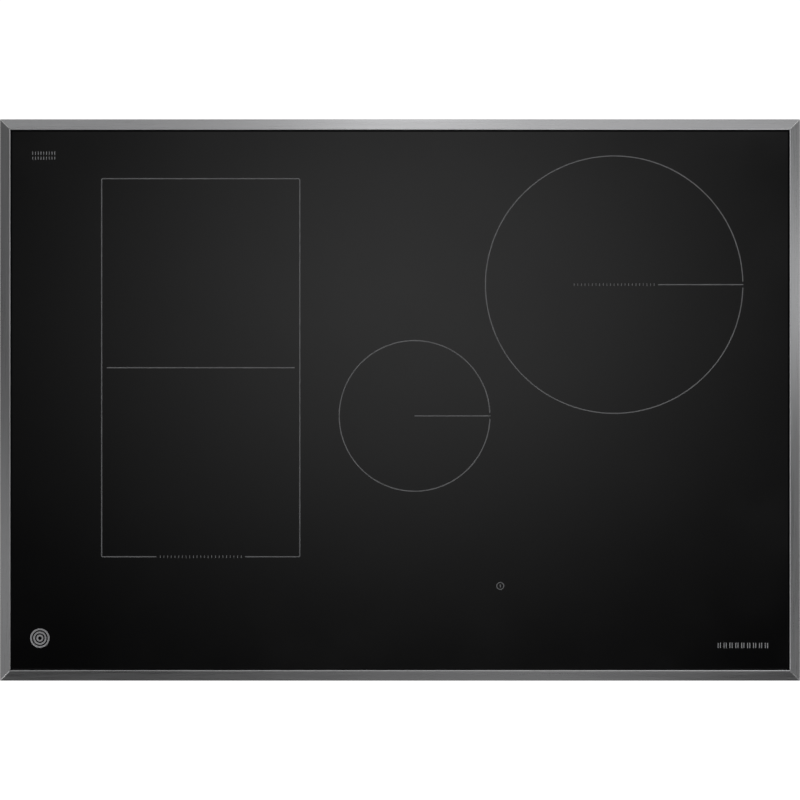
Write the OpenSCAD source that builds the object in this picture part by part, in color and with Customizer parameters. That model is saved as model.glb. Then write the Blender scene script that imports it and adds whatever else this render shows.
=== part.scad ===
// Drop-in electric induction cooktop, 30 inch class: a black glass-ceramic panel in a
// mitred stainless frame, over a steel burner box with four spring-mounted coils.
// Millimetres. +Z is up, the front edge is at -Y, and the origin is under the middle of
// the cooktop on the plane that the burner box stands on.

/* [Overall] */
// Width over the steel frame
body_w = 781; // [775:1:790]
// Depth over the steel frame, front to back
body_d = 548; // [545:1:556]
// Depth of the burner box below the worktop
box_h = 98; // [96:1:100]

/* [Glass and frame] */
// Width of the steel frame as seen from above
trim_face = 10.6; // [9:0.1:11]
// Height of the frame's inner edge above the worktop
trim_h = 6.8; // [6.6:0.1:7.5]
// Thickness of the glass-ceramic panel
glass_t = 4; // [3.9:0.1:4]
// Joint between the glass edge and the frame, filled with silicone
glass_gap = 1.2; // [1:0.1:1.5]
// Hairline left open along each mitre
mitre_gap = 0.2; // [0.1:0.1:0.4]

/* [Burner box] */
// How far the frame overhangs the box at each side
overhang_x = 32.5; // [32:0.5:33]
// How far the frame overhangs the box at the front and at the back
overhang_y = 29; // [28.5:0.5:29]
// Thickness of the box's steel sheet
sheet = 1; // [0.8:0.1:1]
// Radius of the box's upright corners
box_r = 12; // [8:1:14]

/* [Cooking zones] */
// Centre of the long two-coil zone
flex_at = [-194.3, 31.3];
// Size of the long two-coil zone
flex_size = [193.4, 369.1];
// Centre of the large round zone
large_at = [208.8, 112.5];
// Centre of the small round zone
small_at = [14.2, -15.5];
// Radius of the large coil
large_r = 108; // [104:1:109]
// Radius of the small coil
small_r = 64; // [58:1:66]
// Width and depth of each coil under the long zone
flex_coil = [168, 158];

/* [Fans] */
// Distance of each fan's centre from the middle of the cooktop
fan_x = 255; // [253:1:257]
// Distance of the fans' centres behind the middle
fan_y = 150; // [148:1:152]
// Side of each square fan housing
fan_size = 120; // [116:1:120]
// Number of blades on each fan wheel
fan_blades = 24; // [12:1:32]

/* [Hold-down clamps] */
// Distance of each clamp screw from the middle of the cooktop
clamp_x = 380; // [379:0.5:381]
// Radius of the clamp screw
clamp_screw_r = 3; // [3:0.5:3.5]
// Height of the bracket's threaded tab above the box's floor
clamp_tab_z = 32; // [32:1:34]

/* [Power key] */
// Centre of the power key under the glass
key_at = [97.8, -181.3];
// Spacing of the touch springs along the control board
key_pitch = 28; // [26:1:28]

/* [Hidden] */
$fn = 64;
eps = 0.01;
slide_gap = 0.05;
run_gap = 0.03;

// Heights of the layers, from the glass down.
top_z = box_h + trim_h;
glass_top_z = top_z - 0.2;
glass_z = glass_top_z - glass_t;
bed_t = 0.3;
flange_t = 1;
flange_z = glass_z - bed_t - flange_t;
flange_reach = trim_face + 18;
mica_t = 0.5;
winding_t = 4;
ferrite_t = 6;
base_t = 1.5;
mica_z = glass_z - mica_t;
winding_z = mica_z - winding_t;
ferrite_z = winding_z - ferrite_t;
base_z = ferrite_z - base_t;
deck_t = 1.5;
deck_z = 66;
deck_top = deck_z + deck_t;

// Plan sizes that follow from the driving dimensions.
glass_w = body_w - 2 * (trim_face + glass_gap);
glass_d = body_d - 2 * (trim_face + glass_gap);
box_w = body_w - 2 * overhang_x;
box_d = body_d - 2 * overhang_y;
rim_w = 7;
rib_w = 12;
rib_y = -70;
skirt_w = box_w - 2 * sheet - 1;
skirt_d = box_d - 2 * sheet - 1;
skirt_t = 1;
skirt_r = box_r - sheet - 0.5;
leg_w = 12;
deck_w = box_w - 16;
deck_d = box_d - 16;

// The recess under the back of the box that the supply conduit enters.
pocket_x = [20, 170];
pocket_y = 180;
pocket_h = 30;
gland_at = [142, 210];
cover_x = [48, 120];
cover_y = [184, 236];

// Circuit boards and what stands on them.
tray_y = [-190, 80];
tray_z = 2;
board_z = 10;
board_t = 1.6;
board_top = board_z + board_t;
inverter_size = [160, 250];
inverter_y = -55;
filter_size = [300, 120];
sink_w = 74;
sink_l = 200;
sink_h = 38;
sink_y = -50;

// Long-zone coils sit in the middle of each half of the zone.
flex_front_at = [flex_at[0], flex_at[1] - flex_size[1] / 4];
flex_rear_at = [flex_at[0], flex_at[1] + flex_size[1] / 4];
flex_base = [176, 166];
flex_base_r = 30;
large_base_r = large_r + 4;
small_base_r = small_r + 4;
pin_r = 2;
spring_r = 5;
spring_wall = 1.4;
flex_pins = [for (a = [0:90:270]) 72 * [cos(a), sin(a)]];
large_pins = [for (a = [0:90:270]) 95 * [cos(a), sin(a)]];
small_pins = [for (a = [0:120:240]) 56 * [cos(a), sin(a)]];
stem_r = 5;
sensor_r = 9;

// Posts that carry the coil deck, and the M4 screws used throughout.
posts = [
    [-335, -222], [335, -222], [-335, 222], [335, 222], [0, -228], [-20, 222],
    [-175, 120], [175, 120], [-165, -205], [165, -205]
];
m4_r = 2;
m4_head_r = 4;
m4_head_h = 2.6;
frame_screw_z = box_h - 7;
bracket_screw_z = 48;
bracket_screw_y = 18;

// Where the coil cables pass through the deck.
lead_holes = [[208.8, -14], [95, -15.5], [-300, flex_front_at[1]], [-300, flex_rear_at[1]], [0, -138]];

// ---- Shapes used by several parts ----

// A rectangle with true round corners.
module rounded(w, d, r) {
    square([w - 2 * r, d], center = true);
    square([w, d - 2 * r], center = true);
    for (x = [-1, 1], y = [-1, 1]) translate([x * (w / 2 - r), y * (d / 2 - r)]) circle(r);
}

// A rounded plate standing on z.
module plate(w, d, r, z, h) {
    translate([0, 0, z]) linear_extrude(h) rounded(w, d, r);
}

// A flat ring between two rectangles.
module frame_ring(w, d, inner_w, inner_d, z, h) {
    translate([0, 0, z]) linear_extrude(h) difference() {
        square([w, d], center = true);
        square([inner_w, inner_d], center = true);
    }
}

// A ring of even width inside a rounded rectangle.
module rounded_ring(w, d, r, wall, inner_r, z, h) {
    translate([0, 0, z]) linear_extrude(h) difference() {
        rounded(w, d, r);
        rounded(w - 2 * wall, d - 2 * wall, inner_r);
    }
}

// A cylinder from z, h tall, at a point in plan.
module post(at, r, z, h) {
    translate([at[0], at[1], z]) cylinder(r = r, h = h);
}

// A tube from z, h tall, at a point in plan.
module tube(at, r, bore_r, z, h) {
    translate([at[0], at[1], z]) difference() {
        cylinder(r = r, h = h);
        translate([0, 0, -1]) cylinder(r = bore_r, h = h + 2);
    }
}

// A block given by its lowest corner and its size.
module block(at, size) {
    translate(at) cube(size);
}

// A pan-head M4 screw along +Z with a cross recess. The underside of its head is at z = 0.
module m4_screw(length) {
    difference() {
        union() {
            translate([0, 0, -m4_head_h]) cylinder(r = m4_head_r, h = m4_head_h);
            translate([0, 0, -eps]) cylinder(r = m4_r, h = length + eps);
        }
        for (a = [0, 90]) rotate([0, 0, a]) translate([-2.2, -0.5, -m4_head_h - 1]) cube([4.4, 1, 2.4]);
    }
}

// ---- Glass, frame and seals ----

// Cross-section of the frame: distance in from the outer edge against height.
function trim_profile() = [
    [0.3, box_h], [0, box_h + 0.3], [0, box_h + 1], [0.3, box_h + 1.4],
    [trim_face - 1.3, top_z - 0.15], [trim_face - 1.0, top_z], [trim_face - 0.25, top_z],
    [trim_face, top_z - 0.25], [trim_face, flange_z + flange_t], [flange_reach, flange_z + flange_t],
    [flange_reach, flange_z], [2.2, flange_z], [2.2, box_h]
];

// One frame strip along X with its outer edge at y = -depth / 2, cut at 45 degrees at both ends.
module trim_strip(length, depth) {
    cut = mitre_gap / sqrt(2);
    color("silver") intersection() {
        translate([-length / 2, -depth / 2, 0]) rotate([90, 0, 90]) linear_extrude(length)
            polygon(trim_profile());
        translate([0, 0, box_h - 1]) linear_extrude(trim_h + 2) polygon([
            [-length / 2 + cut, -depth / 2], [length / 2 - cut, -depth / 2],
            [length / 2 - cut - 60, -depth / 2 + 60], [-length / 2 + cut + 60, -depth / 2 + 60]
        ]);
    }
}

module trim_front() { trim_strip(body_w, body_d); }

module trim_rear() { rotate([0, 0, 180]) trim_strip(body_w, body_d); }

module trim_left() { rotate([0, 0, -90]) trim_strip(body_d, body_w); }

module trim_right() { rotate([0, 0, 90]) trim_strip(body_d, body_w); }

// Panel with its upper edges ground to a small bevel all round.
module glass_top() {
    bevel = 0.6;
    edge = function(w) [
        [-w / 2, glass_z], [w / 2, glass_z], [w / 2, glass_top_z - bevel], [w / 2 - bevel, glass_top_z],
        [-w / 2 + bevel, glass_top_z], [-w / 2, glass_top_z - bevel]
    ];
    color([0.03, 0.03, 0.035]) intersection() {
        plate(glass_w, glass_d, 2, glass_z, glass_t);
        translate([0, glass_d / 2, 0]) rotate([90, 0, 0]) linear_extrude(glass_d) polygon(edge(glass_w));
        translate([-glass_w / 2, 0, 0]) rotate([90, 0, 90]) linear_extrude(glass_w) polygon(edge(glass_d));
    }
}

// Silicone: a thin bed under the glass and a bead in the joint round it.
module glass_bond() {
    bead_top = glass_top_z - 0.6;
    color([0.05, 0.05, 0.05]) {
        frame_ring(
            body_w - 2 * trim_face, body_d - 2 * trim_face, skirt_w - 2 * leg_w, skirt_d - 2 * leg_w,
            flange_z + flange_t, bed_t
        );
        difference() {
            frame_ring(
                body_w - 2 * trim_face, body_d - 2 * trim_face, glass_w - 6, glass_d - 6,
                glass_z - eps, bead_top - glass_z + eps
            );
            plate(glass_w, glass_d, 2, glass_z - 1, glass_t + 2);
        }
    }
}

// Foam tape under the frame that seals against the worktop.
module worktop_gasket() {
    color([0.12, 0.12, 0.12])
        frame_ring(body_w - 6, body_d - 6, body_w - 37, body_d - 37, box_h - 1, flange_z - box_h + 1);
}

// Steel ring bonded under the glass, with a skirt that stands inside the burner box.
module support_frame() {
    skirt_h = 16;
    color([0.62, 0.64, 0.66]) difference() {
        union() {
            rounded_ring(skirt_w, skirt_d, skirt_r, leg_w, 4, flange_z, flange_t);
            rounded_ring(
                skirt_w, skirt_d, skirt_r, skirt_t, skirt_r - skirt_t, flange_z - skirt_h, skirt_h + eps
            );
        }
        frame_screw_places() translate([0, 0, -3]) cylinder(r = m4_r + slide_gap, h = 10);
    }
}

// ---- Burner box ----

// Puts its children at each screw that joins the box to the support frame, pointing inwards.
module frame_screw_places() {
    for (x = [-250, 0, 250], s = [0, 180])
        rotate([0, 0, s]) translate([x, -box_d / 2, frame_screw_z]) rotate([-90, 0, 0]) children();
    for (y = [-150, 150], s = [0, 180])
        rotate([0, 0, s]) translate([-box_w / 2, y, frame_screw_z]) rotate([0, 90, 0]) children();
}

// Puts its children at each screw that holds a hold-down bracket, pointing inwards.
module bracket_screw_places() {
    for (s = [0, 180], y = [-bracket_screw_y, bracket_screw_y])
        rotate([0, 0, s]) translate([-box_w / 2 - 2, y, bracket_screw_z]) rotate([0, 90, 0]) children();
}

// Puts its children at each screw of the terminal cover, pointing up.
module cover_screw_places() {
    for (y = [cover_y[0] + 3, cover_y[1] - 3])
        translate([(cover_x[0] + cover_x[1]) / 2, y, pocket_h - sheet]) children();
}

// Deep-drawn tray: floor, walls, turned-out rim, and a notch at the back for the conduit pocket.
module burner_box() {
    color([0.72, 0.74, 0.75]) difference() {
        union() {
            difference() {
                plate(box_w, box_d, box_r, 0, box_h + 0.3 + sheet);
                plate(box_w - 2 * sheet, box_d - 2 * sheet, box_r - sheet, sheet, box_h + 10);
            }
            difference() {
                plate(box_w + 2 * rim_w, box_d + 2 * rim_w, box_r + rim_w, flange_z - sheet, sheet);
                plate(box_w - sheet, box_d - sheet, box_r - sheet / 2, flange_z - 5, 10);
            }
            floor_ribs(rib_w, sheet - 0.2, sheet);
        }
        floor_ribs(rib_w - 2, -1, 0.8 + 1);
        block(
            [pocket_x[0] - sheet, pocket_y - sheet, -1],
            [pocket_x[1] - pocket_x[0] + 2 * sheet, box_d / 2 - pocket_y + 10, pocket_h + sheet + 1]
        );
        for (s = [-1, 1]) post([s * fan_x, fan_y], 50, -1, 4);
        outlet_slots();
        frame_screw_places() translate([0, 0, -5]) cylinder(r = m4_r + 0.2, h = 10);
        bracket_screw_places() translate([0, 0, -5]) cylinder(r = m4_r + slide_gap, h = 12);
    }
}

// Pressing that closes the notch: a roof and three walls, open below and at the back.
module conduit_pocket() {
    w = pocket_x[1] - pocket_x[0];
    d = box_d / 2 - pocket_y;
    color([0.7, 0.72, 0.73]) difference() {
        block([pocket_x[0] - sheet, pocket_y - sheet, 0], [w + 2 * sheet, d + sheet, pocket_h + sheet]);
        block([pocket_x[0], pocket_y, -1], [w, d + 10, pocket_h + 1]);
        cover_screw_places() translate([0, 0, -5]) cylinder(r = m4_r + slide_gap, h = 12);
        block([cover_x[0] + 8, cover_y[0] + 6, pocket_h - 5], [56, 40, 10]);
        post(gland_at, 11, pocket_h - 5, 10);
    }
}

// Long beads pressed up into the floor to stiffen it.
module floor_ribs(w, z, h) {
    length = 238 + w;
    for (x = [-300:100:300]) translate([x, rib_y, z]) linear_extrude(h) rounded(w, length, w / 2 - eps);
}

// Two banks of upright slots in the front wall that let the cooling air out.
module outlet_slots() {
    count = 16;
    pitch = 8;
    for (s = [-1, 1], i = [0:count - 1])
        block([s * fan_x + (i - (count - 1) / 2) * pitch - 1.75, -box_d / 2 - 1, 16], [3.5, 3, 36]);
}

// Pressed fan guards that lie over the two round inlets in the floor.
module vent_grilles() {
    ring_pitch = 7;
    color([0.66, 0.68, 0.7]) for (s = [-1, 1]) translate([s * fan_x, fan_y, 0]) difference() {
        plate(118, 118, 6, sheet, sheet);
        for (i = [0:5]) difference() {
            post([0, 0], 12 + i * ring_pitch + 4.5, 0, 5);
            post([0, 0], 12 + i * ring_pitch, -1, 7);
            for (a = [0:60:120]) rotate([0, 0, a]) block([-60, -1.5, -1], [120, 3, 7]);
        }
    }
}

// All the M4 screws: frame to box, brackets to box, terminal cover, and deck to posts.
module m4_screws() {
    color("gainsboro") {
        frame_screw_places() m4_screw(8);
        bracket_screw_places() m4_screw(7);
        cover_screw_places() m4_screw(6);
        for (p = posts) translate([p[0], p[1], deck_top]) rotate([180, 0, 0]) m4_screw(10);
    }
}

// ---- Coil deck ----

// Aluminium sheet that carries the coils, with a peg inside each coil spring.
module coil_deck() {
    peg_top = base_z + base_t + 0.5;
    color([0.8, 0.81, 0.82]) difference() {
        union() {
            plate(deck_w, deck_d, 8, deck_z, deck_t);
            coil_pins() post([0, 0], pin_r, deck_top - eps, peg_top - deck_top + eps);
        }
        for (p = posts) post(p, m4_r + 0.2, deck_z - 1, 5);
        for (p = lead_holes) post(p, 5, deck_z - 1, 5);
        for (p = [flex_front_at, flex_rear_at, large_at, small_at]) post(p, 12, deck_z - 1, 5);
        for (x = [-80:20:-40], y = [60:30:180]) translate([x, y, deck_z - 1]) deck_vent();
        for (x = [-40:30:80], y = [-120]) translate([x, y, deck_z - 1]) deck_vent();
    }
}

// An air slot through the deck.
module deck_vent() {
    linear_extrude(5) rounded(16, 5, 2.4);
}

// Puts its children at every coil spring.
module coil_pins() {
    for (p = flex_pins) {
        translate(flex_front_at + p) children();
        translate(flex_rear_at + p) children();
    }
    for (p = large_pins) translate(large_at + p) children();
    for (p = small_pins) translate(small_at + p) children();
}

// Posts between the floor and the deck, threaded at the top.
module deck_posts() {
    color("lightgray") for (p = posts) difference() {
        post(p, 4, sheet, deck_z - sheet);
        post(p, m4_r + slide_gap, deck_z - 12, 20);
    }
}

// ---- Coils ----

// Guide holes and the sensor's hole through a coil's base plate.
module base_holes(pins) {
    for (p = pins) post(p, pin_r + 0.6, base_z - 1, 5);
    post([0, 0], stem_r + slide_gap, base_z - 1, 5);
}

module round_base(at, r, pins) {
    color([0.78, 0.79, 0.8]) translate(at) difference() {
        post([0, 0], r, base_z, base_t);
        base_holes(pins);
    }
}

module flex_base(at) {
    color([0.78, 0.79, 0.8]) translate(at) difference() {
        plate(flex_base[0], flex_base[1], flex_base_r, base_z, base_t);
        base_holes(flex_pins);
    }
}

// Ferrite bars like spokes between the base plate and the winding.
module ferrites(at, count, first_angle, inner, outer, width) {
    color([0.2, 0.2, 0.22]) translate(at) for (i = [0:count - 1])
        rotate([0, 0, first_angle + i * 360 / count])
            block([inner, -width / 2, ferrite_z], [outer - inner, width, ferrite_t]);
}

module round_winding(at, r, inner) {
    color([0.72, 0.45, 0.2]) tube(at, r, inner, winding_z, winding_t);
}

module flex_winding(at) {
    color([0.72, 0.45, 0.2]) translate(at) difference() {
        plate(flex_coil[0], flex_coil[1], 40, winding_z, winding_t);
        plate(52, 42, 20, winding_z - 1, winding_t + 2);
    }
}

module round_mica(at, r) {
    color([0.82, 0.78, 0.68]) tube(at, r, sensor_r + 1.5, mica_z, mica_t);
}

module flex_mica(at) {
    color([0.82, 0.78, 0.68]) translate(at) difference() {
        plate(flex_coil[0] - 2, flex_coil[1] - 2, 39, mica_z, mica_t);
        post([0, 0], sensor_r + 1.5, mica_z - 1, mica_t + 2);
    }
}

// Temperature sensor in a silicone boot: a head under the glass, on a stem that snaps into the base plate.
module sensor(at) {
    head_z = glass_z - 3.5;
    lip_r = stem_r + 1.5;
    lip_h = 2;
    color([0.9, 0.88, 0.84]) translate(at) {
        post([0, 0], sensor_r, head_z, glass_z - head_z);
        post([0, 0], stem_r, base_z - lip_h, head_z - base_z + lip_h + eps);
        post([0, 0], lip_r, base_z - lip_h, lip_h);
        post([0, 0], lip_r, base_z + base_t, lip_h);
    }
}

// The envelope of each coil spring, between the deck and the base plate.
module springs(at, pins) {
    color("darkgray") for (p = pins)
        tube(at + p, spring_r, spring_r - spring_wall, deck_top, base_z - deck_top);
}

// ---- Electronics ----

// Moulded tray on the floor of the box that carries the three boards on pillars.
module electronics_tray() {
    tray_w = 690;
    tray_d = tray_y[1] - tray_y[0];
    mid_y = (tray_y[0] + tray_y[1]) / 2;
    color([0.9, 0.9, 0.88]) {
        translate([0, mid_y, tray_z]) difference() {
            linear_extrude(12) rounded(tray_w, tray_d, 6);
            translate([0, 0, 2]) linear_extrude(20) rounded(tray_w - 4, tray_d - 4, 4);
        }
        for (p = board_pillars()) post(p, 3.5, tray_z + 1, board_z - tray_z - 1);
        for (x = [-325, 325], y = [tray_y[0] + 15, tray_y[1] - 15])
            post([x, y], 5, sheet, tray_z - sheet + eps);
    }
}

function board_pillars() = concat(
    [for (s = [-1, 1], x = [-72, 72], y = [-115, 115]) [s * fan_x + x, inverter_y + y]],
    [for (x = [-140, 140], y = [-50, 50]) [x, y]]
);

module inverter_boards() {
    color([0.1, 0.35, 0.2]) for (s = [-1, 1]) translate([s * fan_x, inverter_y, 0])
        plate(inverter_size[0], inverter_size[1], 2, board_z, board_t);
}

module filter_board() {
    color([0.1, 0.35, 0.2]) plate(filter_size[0], filter_size[1], 2, board_z, board_t);
}

// Finned extrusions down the middle of each inverter board.
module heat_sinks() {
    fins = 11;
    fin_t = 1.8;
    root_t = 5;
    pitch = (sink_w - fin_t) / (fins - 1);
    outline = concat(
        [[-sink_w / 2, 0], [sink_w / 2, 0]],
        [for (i = [fins - 1:-1:0]) let (x = -sink_w / 2 + i * pitch) each [
            [x + fin_t, root_t], [x + fin_t, sink_h], [x, sink_h], [x, root_t]
        ]]
    );
    color([0.75, 0.76, 0.78]) for (s = [-1, 1])
        translate([s * fan_x, sink_y + sink_l / 2, board_top]) rotate([90, 0, 0])
            linear_extrude(sink_l) polygon(outline);
}

// Power transistors bolted to both flanks of each heat sink.
module power_transistors() {
    color([0.12, 0.12, 0.13]) for (s = [-1, 1], side = [-1, 1], y = [-125, -85, 20])
        translate([s * fan_x + side * (sink_w / 2 + 2.5), y, board_top + 2 + 10.5])
            cube([5, 16, 21], center = true);
}

// Film capacitors on all three boards.
module capacitors() {
    color([0.85, 0.75, 0.2]) {
        for (s = [-1, 1], side = [-1, 1], y = [-160])
            block([s * fan_x + side * 58 - 9, y - 10, board_top], [18, 42, 28]);
        for (x = [-120:50:30]) block([x, -40, board_top], [36, 18, 26]);
        for (x = [-40, 0]) post([x, 30], 12, board_top, 32);
    }
}

// Ring-core chokes lying on the boards.
module chokes() {
    color([0.6, 0.4, 0.15]) {
        for (x = [-115, -75]) choke([x, 25]);
        for (s = [-1, 1]) choke([s * fan_x - s * 58, 45]);
    }
}

module choke(at) {
    translate([at[0], at[1], board_top + 7]) rotate_extrude() translate([12, 0]) circle(r = 6.5);
}

// ---- Fans ----

// Square blower housings with a round inlet below, an outlet at the front, and the motor's fixed core.
module fan_housings() {
    z = 2 * sheet;
    h = 34;
    wall = 2;
    color([0.15, 0.15, 0.16]) for (s = [-1, 1]) translate([s * fan_x, fan_y, z]) difference() {
        union() {
            difference() {
                linear_extrude(h) rounded(fan_size, fan_size, 5);
                translate([0, 0, wall]) cylinder(r = 52, h = h - 2 * wall);
                block([-44, -fan_size, wall], [88, fan_size, h - 2 * wall]);
                translate([0, 0, -1]) cylinder(r = 42, h = wall + 2);
            }
            translate([0, 0, 12]) cylinder(r = 15, h = h - 12 - wall + eps);
        }
        translate([0, 0, 10]) cylinder(r = 1.5 + run_gap, h = h);
    }
}

// Centrifugal wheel: hub cup, back plate, forward-curved blades, front ring, and the steel shaft.
module fan_rotor(s) {
    z = 7;
    wheel_h = 23;
    outer = 46;
    inner = 36;
    color([0.2, 0.2, 0.22]) translate([s * fan_x, fan_y, z]) union() {
        difference() {
            cylinder(r = 21, h = wheel_h);
            translate([0, 0, 2]) cylinder(r = 18, h = wheel_h);
        }
        cylinder(r = 1.5, h = wheel_h + 3);
        tube([0, 0], outer, 20, wheel_h - 2, 2);
        tube([0, 0], outer, inner, 0, 2);
        for (i = [0:fan_blades - 1]) rotate([0, 0, i * 360 / fan_blades])
            translate([inner + 0.5, 0, 1]) rotate([0, 0, s * 20])
                block([0, -0.6, 0], [9.5, 1.2, wheel_h - 2]);
    }
}

// ---- Controls ----

// Control board with its display modules, just under the glass at the front.
module touch_board() {
    z = 90;
    color([0.08, 0.3, 0.18]) difference() {
        translate([0, -186, 0]) plate(396, 68, 2, z, board_t);
        for (x = [-185, 185], y = [-212, -160]) post([x, y], 1.6, z - 1, 5);
    }
    color([0.15, 0.15, 0.15]) for (x = [-160:64:160])
        block([x - 12, -210, z + board_t], [24, 12, 6]);
}

// Moulded cradle that stands on the deck and holds the control board up to the glass.
module touch_carrier() {
    color([0.92, 0.92, 0.9]) {
        translate([0, -186, 88]) difference() {
            linear_extrude(5) rounded(402, 74, 4);
            translate([0, 0, 2]) linear_extrude(5) rounded(396.4, 68.4, 2.2);
            for (x = [-150:60:150]) translate([x - 20, -20, -1]) cube([40, 40, 5]);
        }
        for (x = [-190, -75, 75, 190], y = [-216, -156]) post([x, y], 4, deck_top, 88 - deck_top + eps);
    }
}

// One contact spring under each touch key, from the board to the glass.
module touch_springs() {
    z = 90 + board_t;
    color("silver") for (k = [-9:3])
        tube([key_at[0] + k * key_pitch, key_at[1]], 4, 3.2, z, glass_z - z);
}

// ---- Supply terminals ----

module terminal_block() {
    z = pocket_h + sheet;
    ways = 4;
    color([0.93, 0.92, 0.86]) difference() {
        block([26, 186, z], [24, 50, 22]);
        for (i = [0:ways - 1]) {
            block([25, 189 + i * 12, z + 6], [8, 8, 10]);
            block([43, 189 + i * 12, z + 6], [8, 8, 10]);
            post([38, 193 + i * 12], 3, z + 12, 20);
        }
    }
}

module terminal_cover() {
    color([0.72, 0.74, 0.75]) difference() {
        block(
            [cover_x[0], cover_y[0], pocket_h - sheet],
            [cover_x[1] - cover_x[0], cover_y[1] - cover_y[0], sheet]
        );
        cover_screw_places() translate([0, 0, -5]) cylinder(r = m4_r + 0.2, h = 10);
    }
}

// Conduit connector: body with a shoulder under the sheet, and a locknut above it.
module cable_gland() {
    bore_r = 8;
    color([0.75, 0.76, 0.77]) translate([gland_at[0], gland_at[1], 0]) {
        difference() {
            union() {
                post([0, 0], 12, 8, 18);
                translate([0, 0, 24]) cylinder(r = 17, h = pocket_h - 24, $fn = 6);
                post([0, 0], 10.9, 24, pocket_h + 8 - 24);
            }
            post([0, 0], bore_r, 0, 24);
            post([0, 0], bore_r + 1, 24, 30);
        }
        difference() {
            translate([0, 0, pocket_h + sheet]) cylinder(r = 16, h = 4, $fn = 6);
            post([0, 0], 10.95, pocket_h, 20);
        }
    }
}

// ---- Hold-down clamps ----

// A folded bracket on each side with a threaded tab and two gussets.
module clamp_brackets() {
    plate_t = 2;
    reach = clamp_x + 8.5 - box_w / 2;
    gusset_h = 12;
    color([0.7, 0.71, 0.73]) for (s = [0, 180]) rotate([0, 0, s]) difference() {
        translate([box_w / 2, 0, 0]) {
            block([0, -30, 14], [plate_t, 60, 46]);
            block([0, -15, clamp_tab_z], [reach, 30, plate_t]);
            for (y = [-15, 13.5]) translate([0, y + 1.5, clamp_tab_z + 1]) rotate([90, 0, 0])
                linear_extrude(1.5) polygon([[1, 0], [14, 0], [14, 1], [1, gusset_h]]);
        }
        post([clamp_x, 0], clamp_screw_r + run_gap, clamp_tab_z - 5, 12);
        bracket_screw_places() translate([0, 0, -5]) cylinder(r = m4_r + 0.2, h = 10);
    }
}

// Swivelling pad on the end of a clamp screw.
module clamp_foot(s) {
    pad_z = clamp_tab_z + 22;
    color([0.25, 0.25, 0.26]) translate([s * clamp_x, 0, 0]) difference() {
        union() {
            post([0, 0], 8, pad_z, 3);
            post([0, 0], 5, pad_z - 4, 4 + eps);
        }
        post([0, 0], clamp_screw_r + run_gap, pad_z - 5, 6);
    }
}

// Jack screw with a cross-recessed head, driven from below.
module clamp_screw(s) {
    head_z = 2;
    head_h = 4;
    tip_z = clamp_tab_z + 22 + 1;
    color([0.8, 0.8, 0.78]) translate([s * clamp_x, 0, 0]) difference() {
        union() {
            post([0, 0], 6, head_z, head_h);
            post([0, 0], clamp_screw_r, head_z + 1, tip_z - head_z - 1);
        }
        for (a = [0, 90]) rotate([0, 0, a]) block([-3.5, -0.6, head_z - 1], [7, 1.2, 3.2]);
    }
}

// ---- Wiring ----

// Each wire: radius, a direction that it never runs along, and the points that it follows.
wires = [
    [2, [1, 0, 0], [[208.8, 4, 98.1], [208.8, -4, 97.4], [208.8, -12, 90], [208.8, -14, 78], [208.8, -14, 60],
        [207, -14, 40], [202, -18, 26], [200, -20, 12]]],
    [2, [0, 1, 0], [[78.8, -15.5, 98.1], [86, -15.5, 97.2], [94, -15.5, 90], [95, -15.5, 78], [95, -15.5, 62],
        [102, -15.5, 48], [130, -16, 36], [165, -16, 30], [184, -16, 24], [188, -16, 12]]],
    [2, [0, 1, 0], [[-278.8, -61, 98.1], [-288, -61, 97.2], [-299, -61, 90], [-300, -61, 78], [-300, -61, 60],
        [-302, -61, 40], [-309, -61, 26], [-310, -61, 12]]],
    [2, [1, 0, 0], [[-278.8, 123.6, 98.1], [-290, 123.6, 97.2], [-299, 123.6, 88], [-300, 123.4, 76],
        [-300, 123, 58], [-303, 112, 46], [-308, 70, 40], [-310, 20, 34], [-310, 2, 24], [-310, 0, 12]]],
    [3, [1, 0, 0], [[38, 185.5, 42], [38, 172, 42], [36, 120, 36], [33, 75, 30], [32, 56, 22], [32, 54, 12]]],
    [2.5, [0, 1, 0], [[-140, -30, 12], [-142, -30, 22], [-157, -30, 28], [-178, -30, 24], [-182, -30, 12]]],
    [2.5, [0, 1, 0], [[140, -36, 12], [142, -36, 22], [157, -36, 24], [178, -36, 22], [182, -36, 12]]],
    [1.8, [1, 0, 0], [[0, -52, 12], [0, -58, 22], [0, -100, 30], [0, -130, 46], [0, -138, 66], [0, -140, 80],
        [0, -148, 90.8]]],
    [1.5, [1, 0, 0], [[-194, 140, 20], [-188, 132, 20], [-184, 110, 20], [-181, 85, 20], [-180, 68, 18],
        [-180, 66.5, 13]]],
    [1.5, [1, 0, 0], [[194, 140, 20], [188, 132, 20], [184, 110, 20], [181, 85, 20], [180, 68, 18],
        [180, 66.5, 13]]]
];

function unit(v) = v / norm(v);

// A point on a smooth curve through p1 and p2, with p0 and p3 as their neighbours.
function between(p0, p1, p2, p3, t) =
    p1 + t * (p2 - p0) / 2 + t * t * (p0 - 2.5 * p1 + 2 * p2 - p3 / 2)
        + t * t * t * (1.5 * p1 - 1.5 * p2 + (p3 - p0) / 2);

function smooth(points, steps) = let (last = len(points) - 1) concat(
    [for (i = [0:last - 1], k = [0:steps - 1])
        between(points[max(i - 1, 0)], points[i], points[i + 1], points[min(i + 2, last)], k / steps)],
    [points[last]]
);

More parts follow.
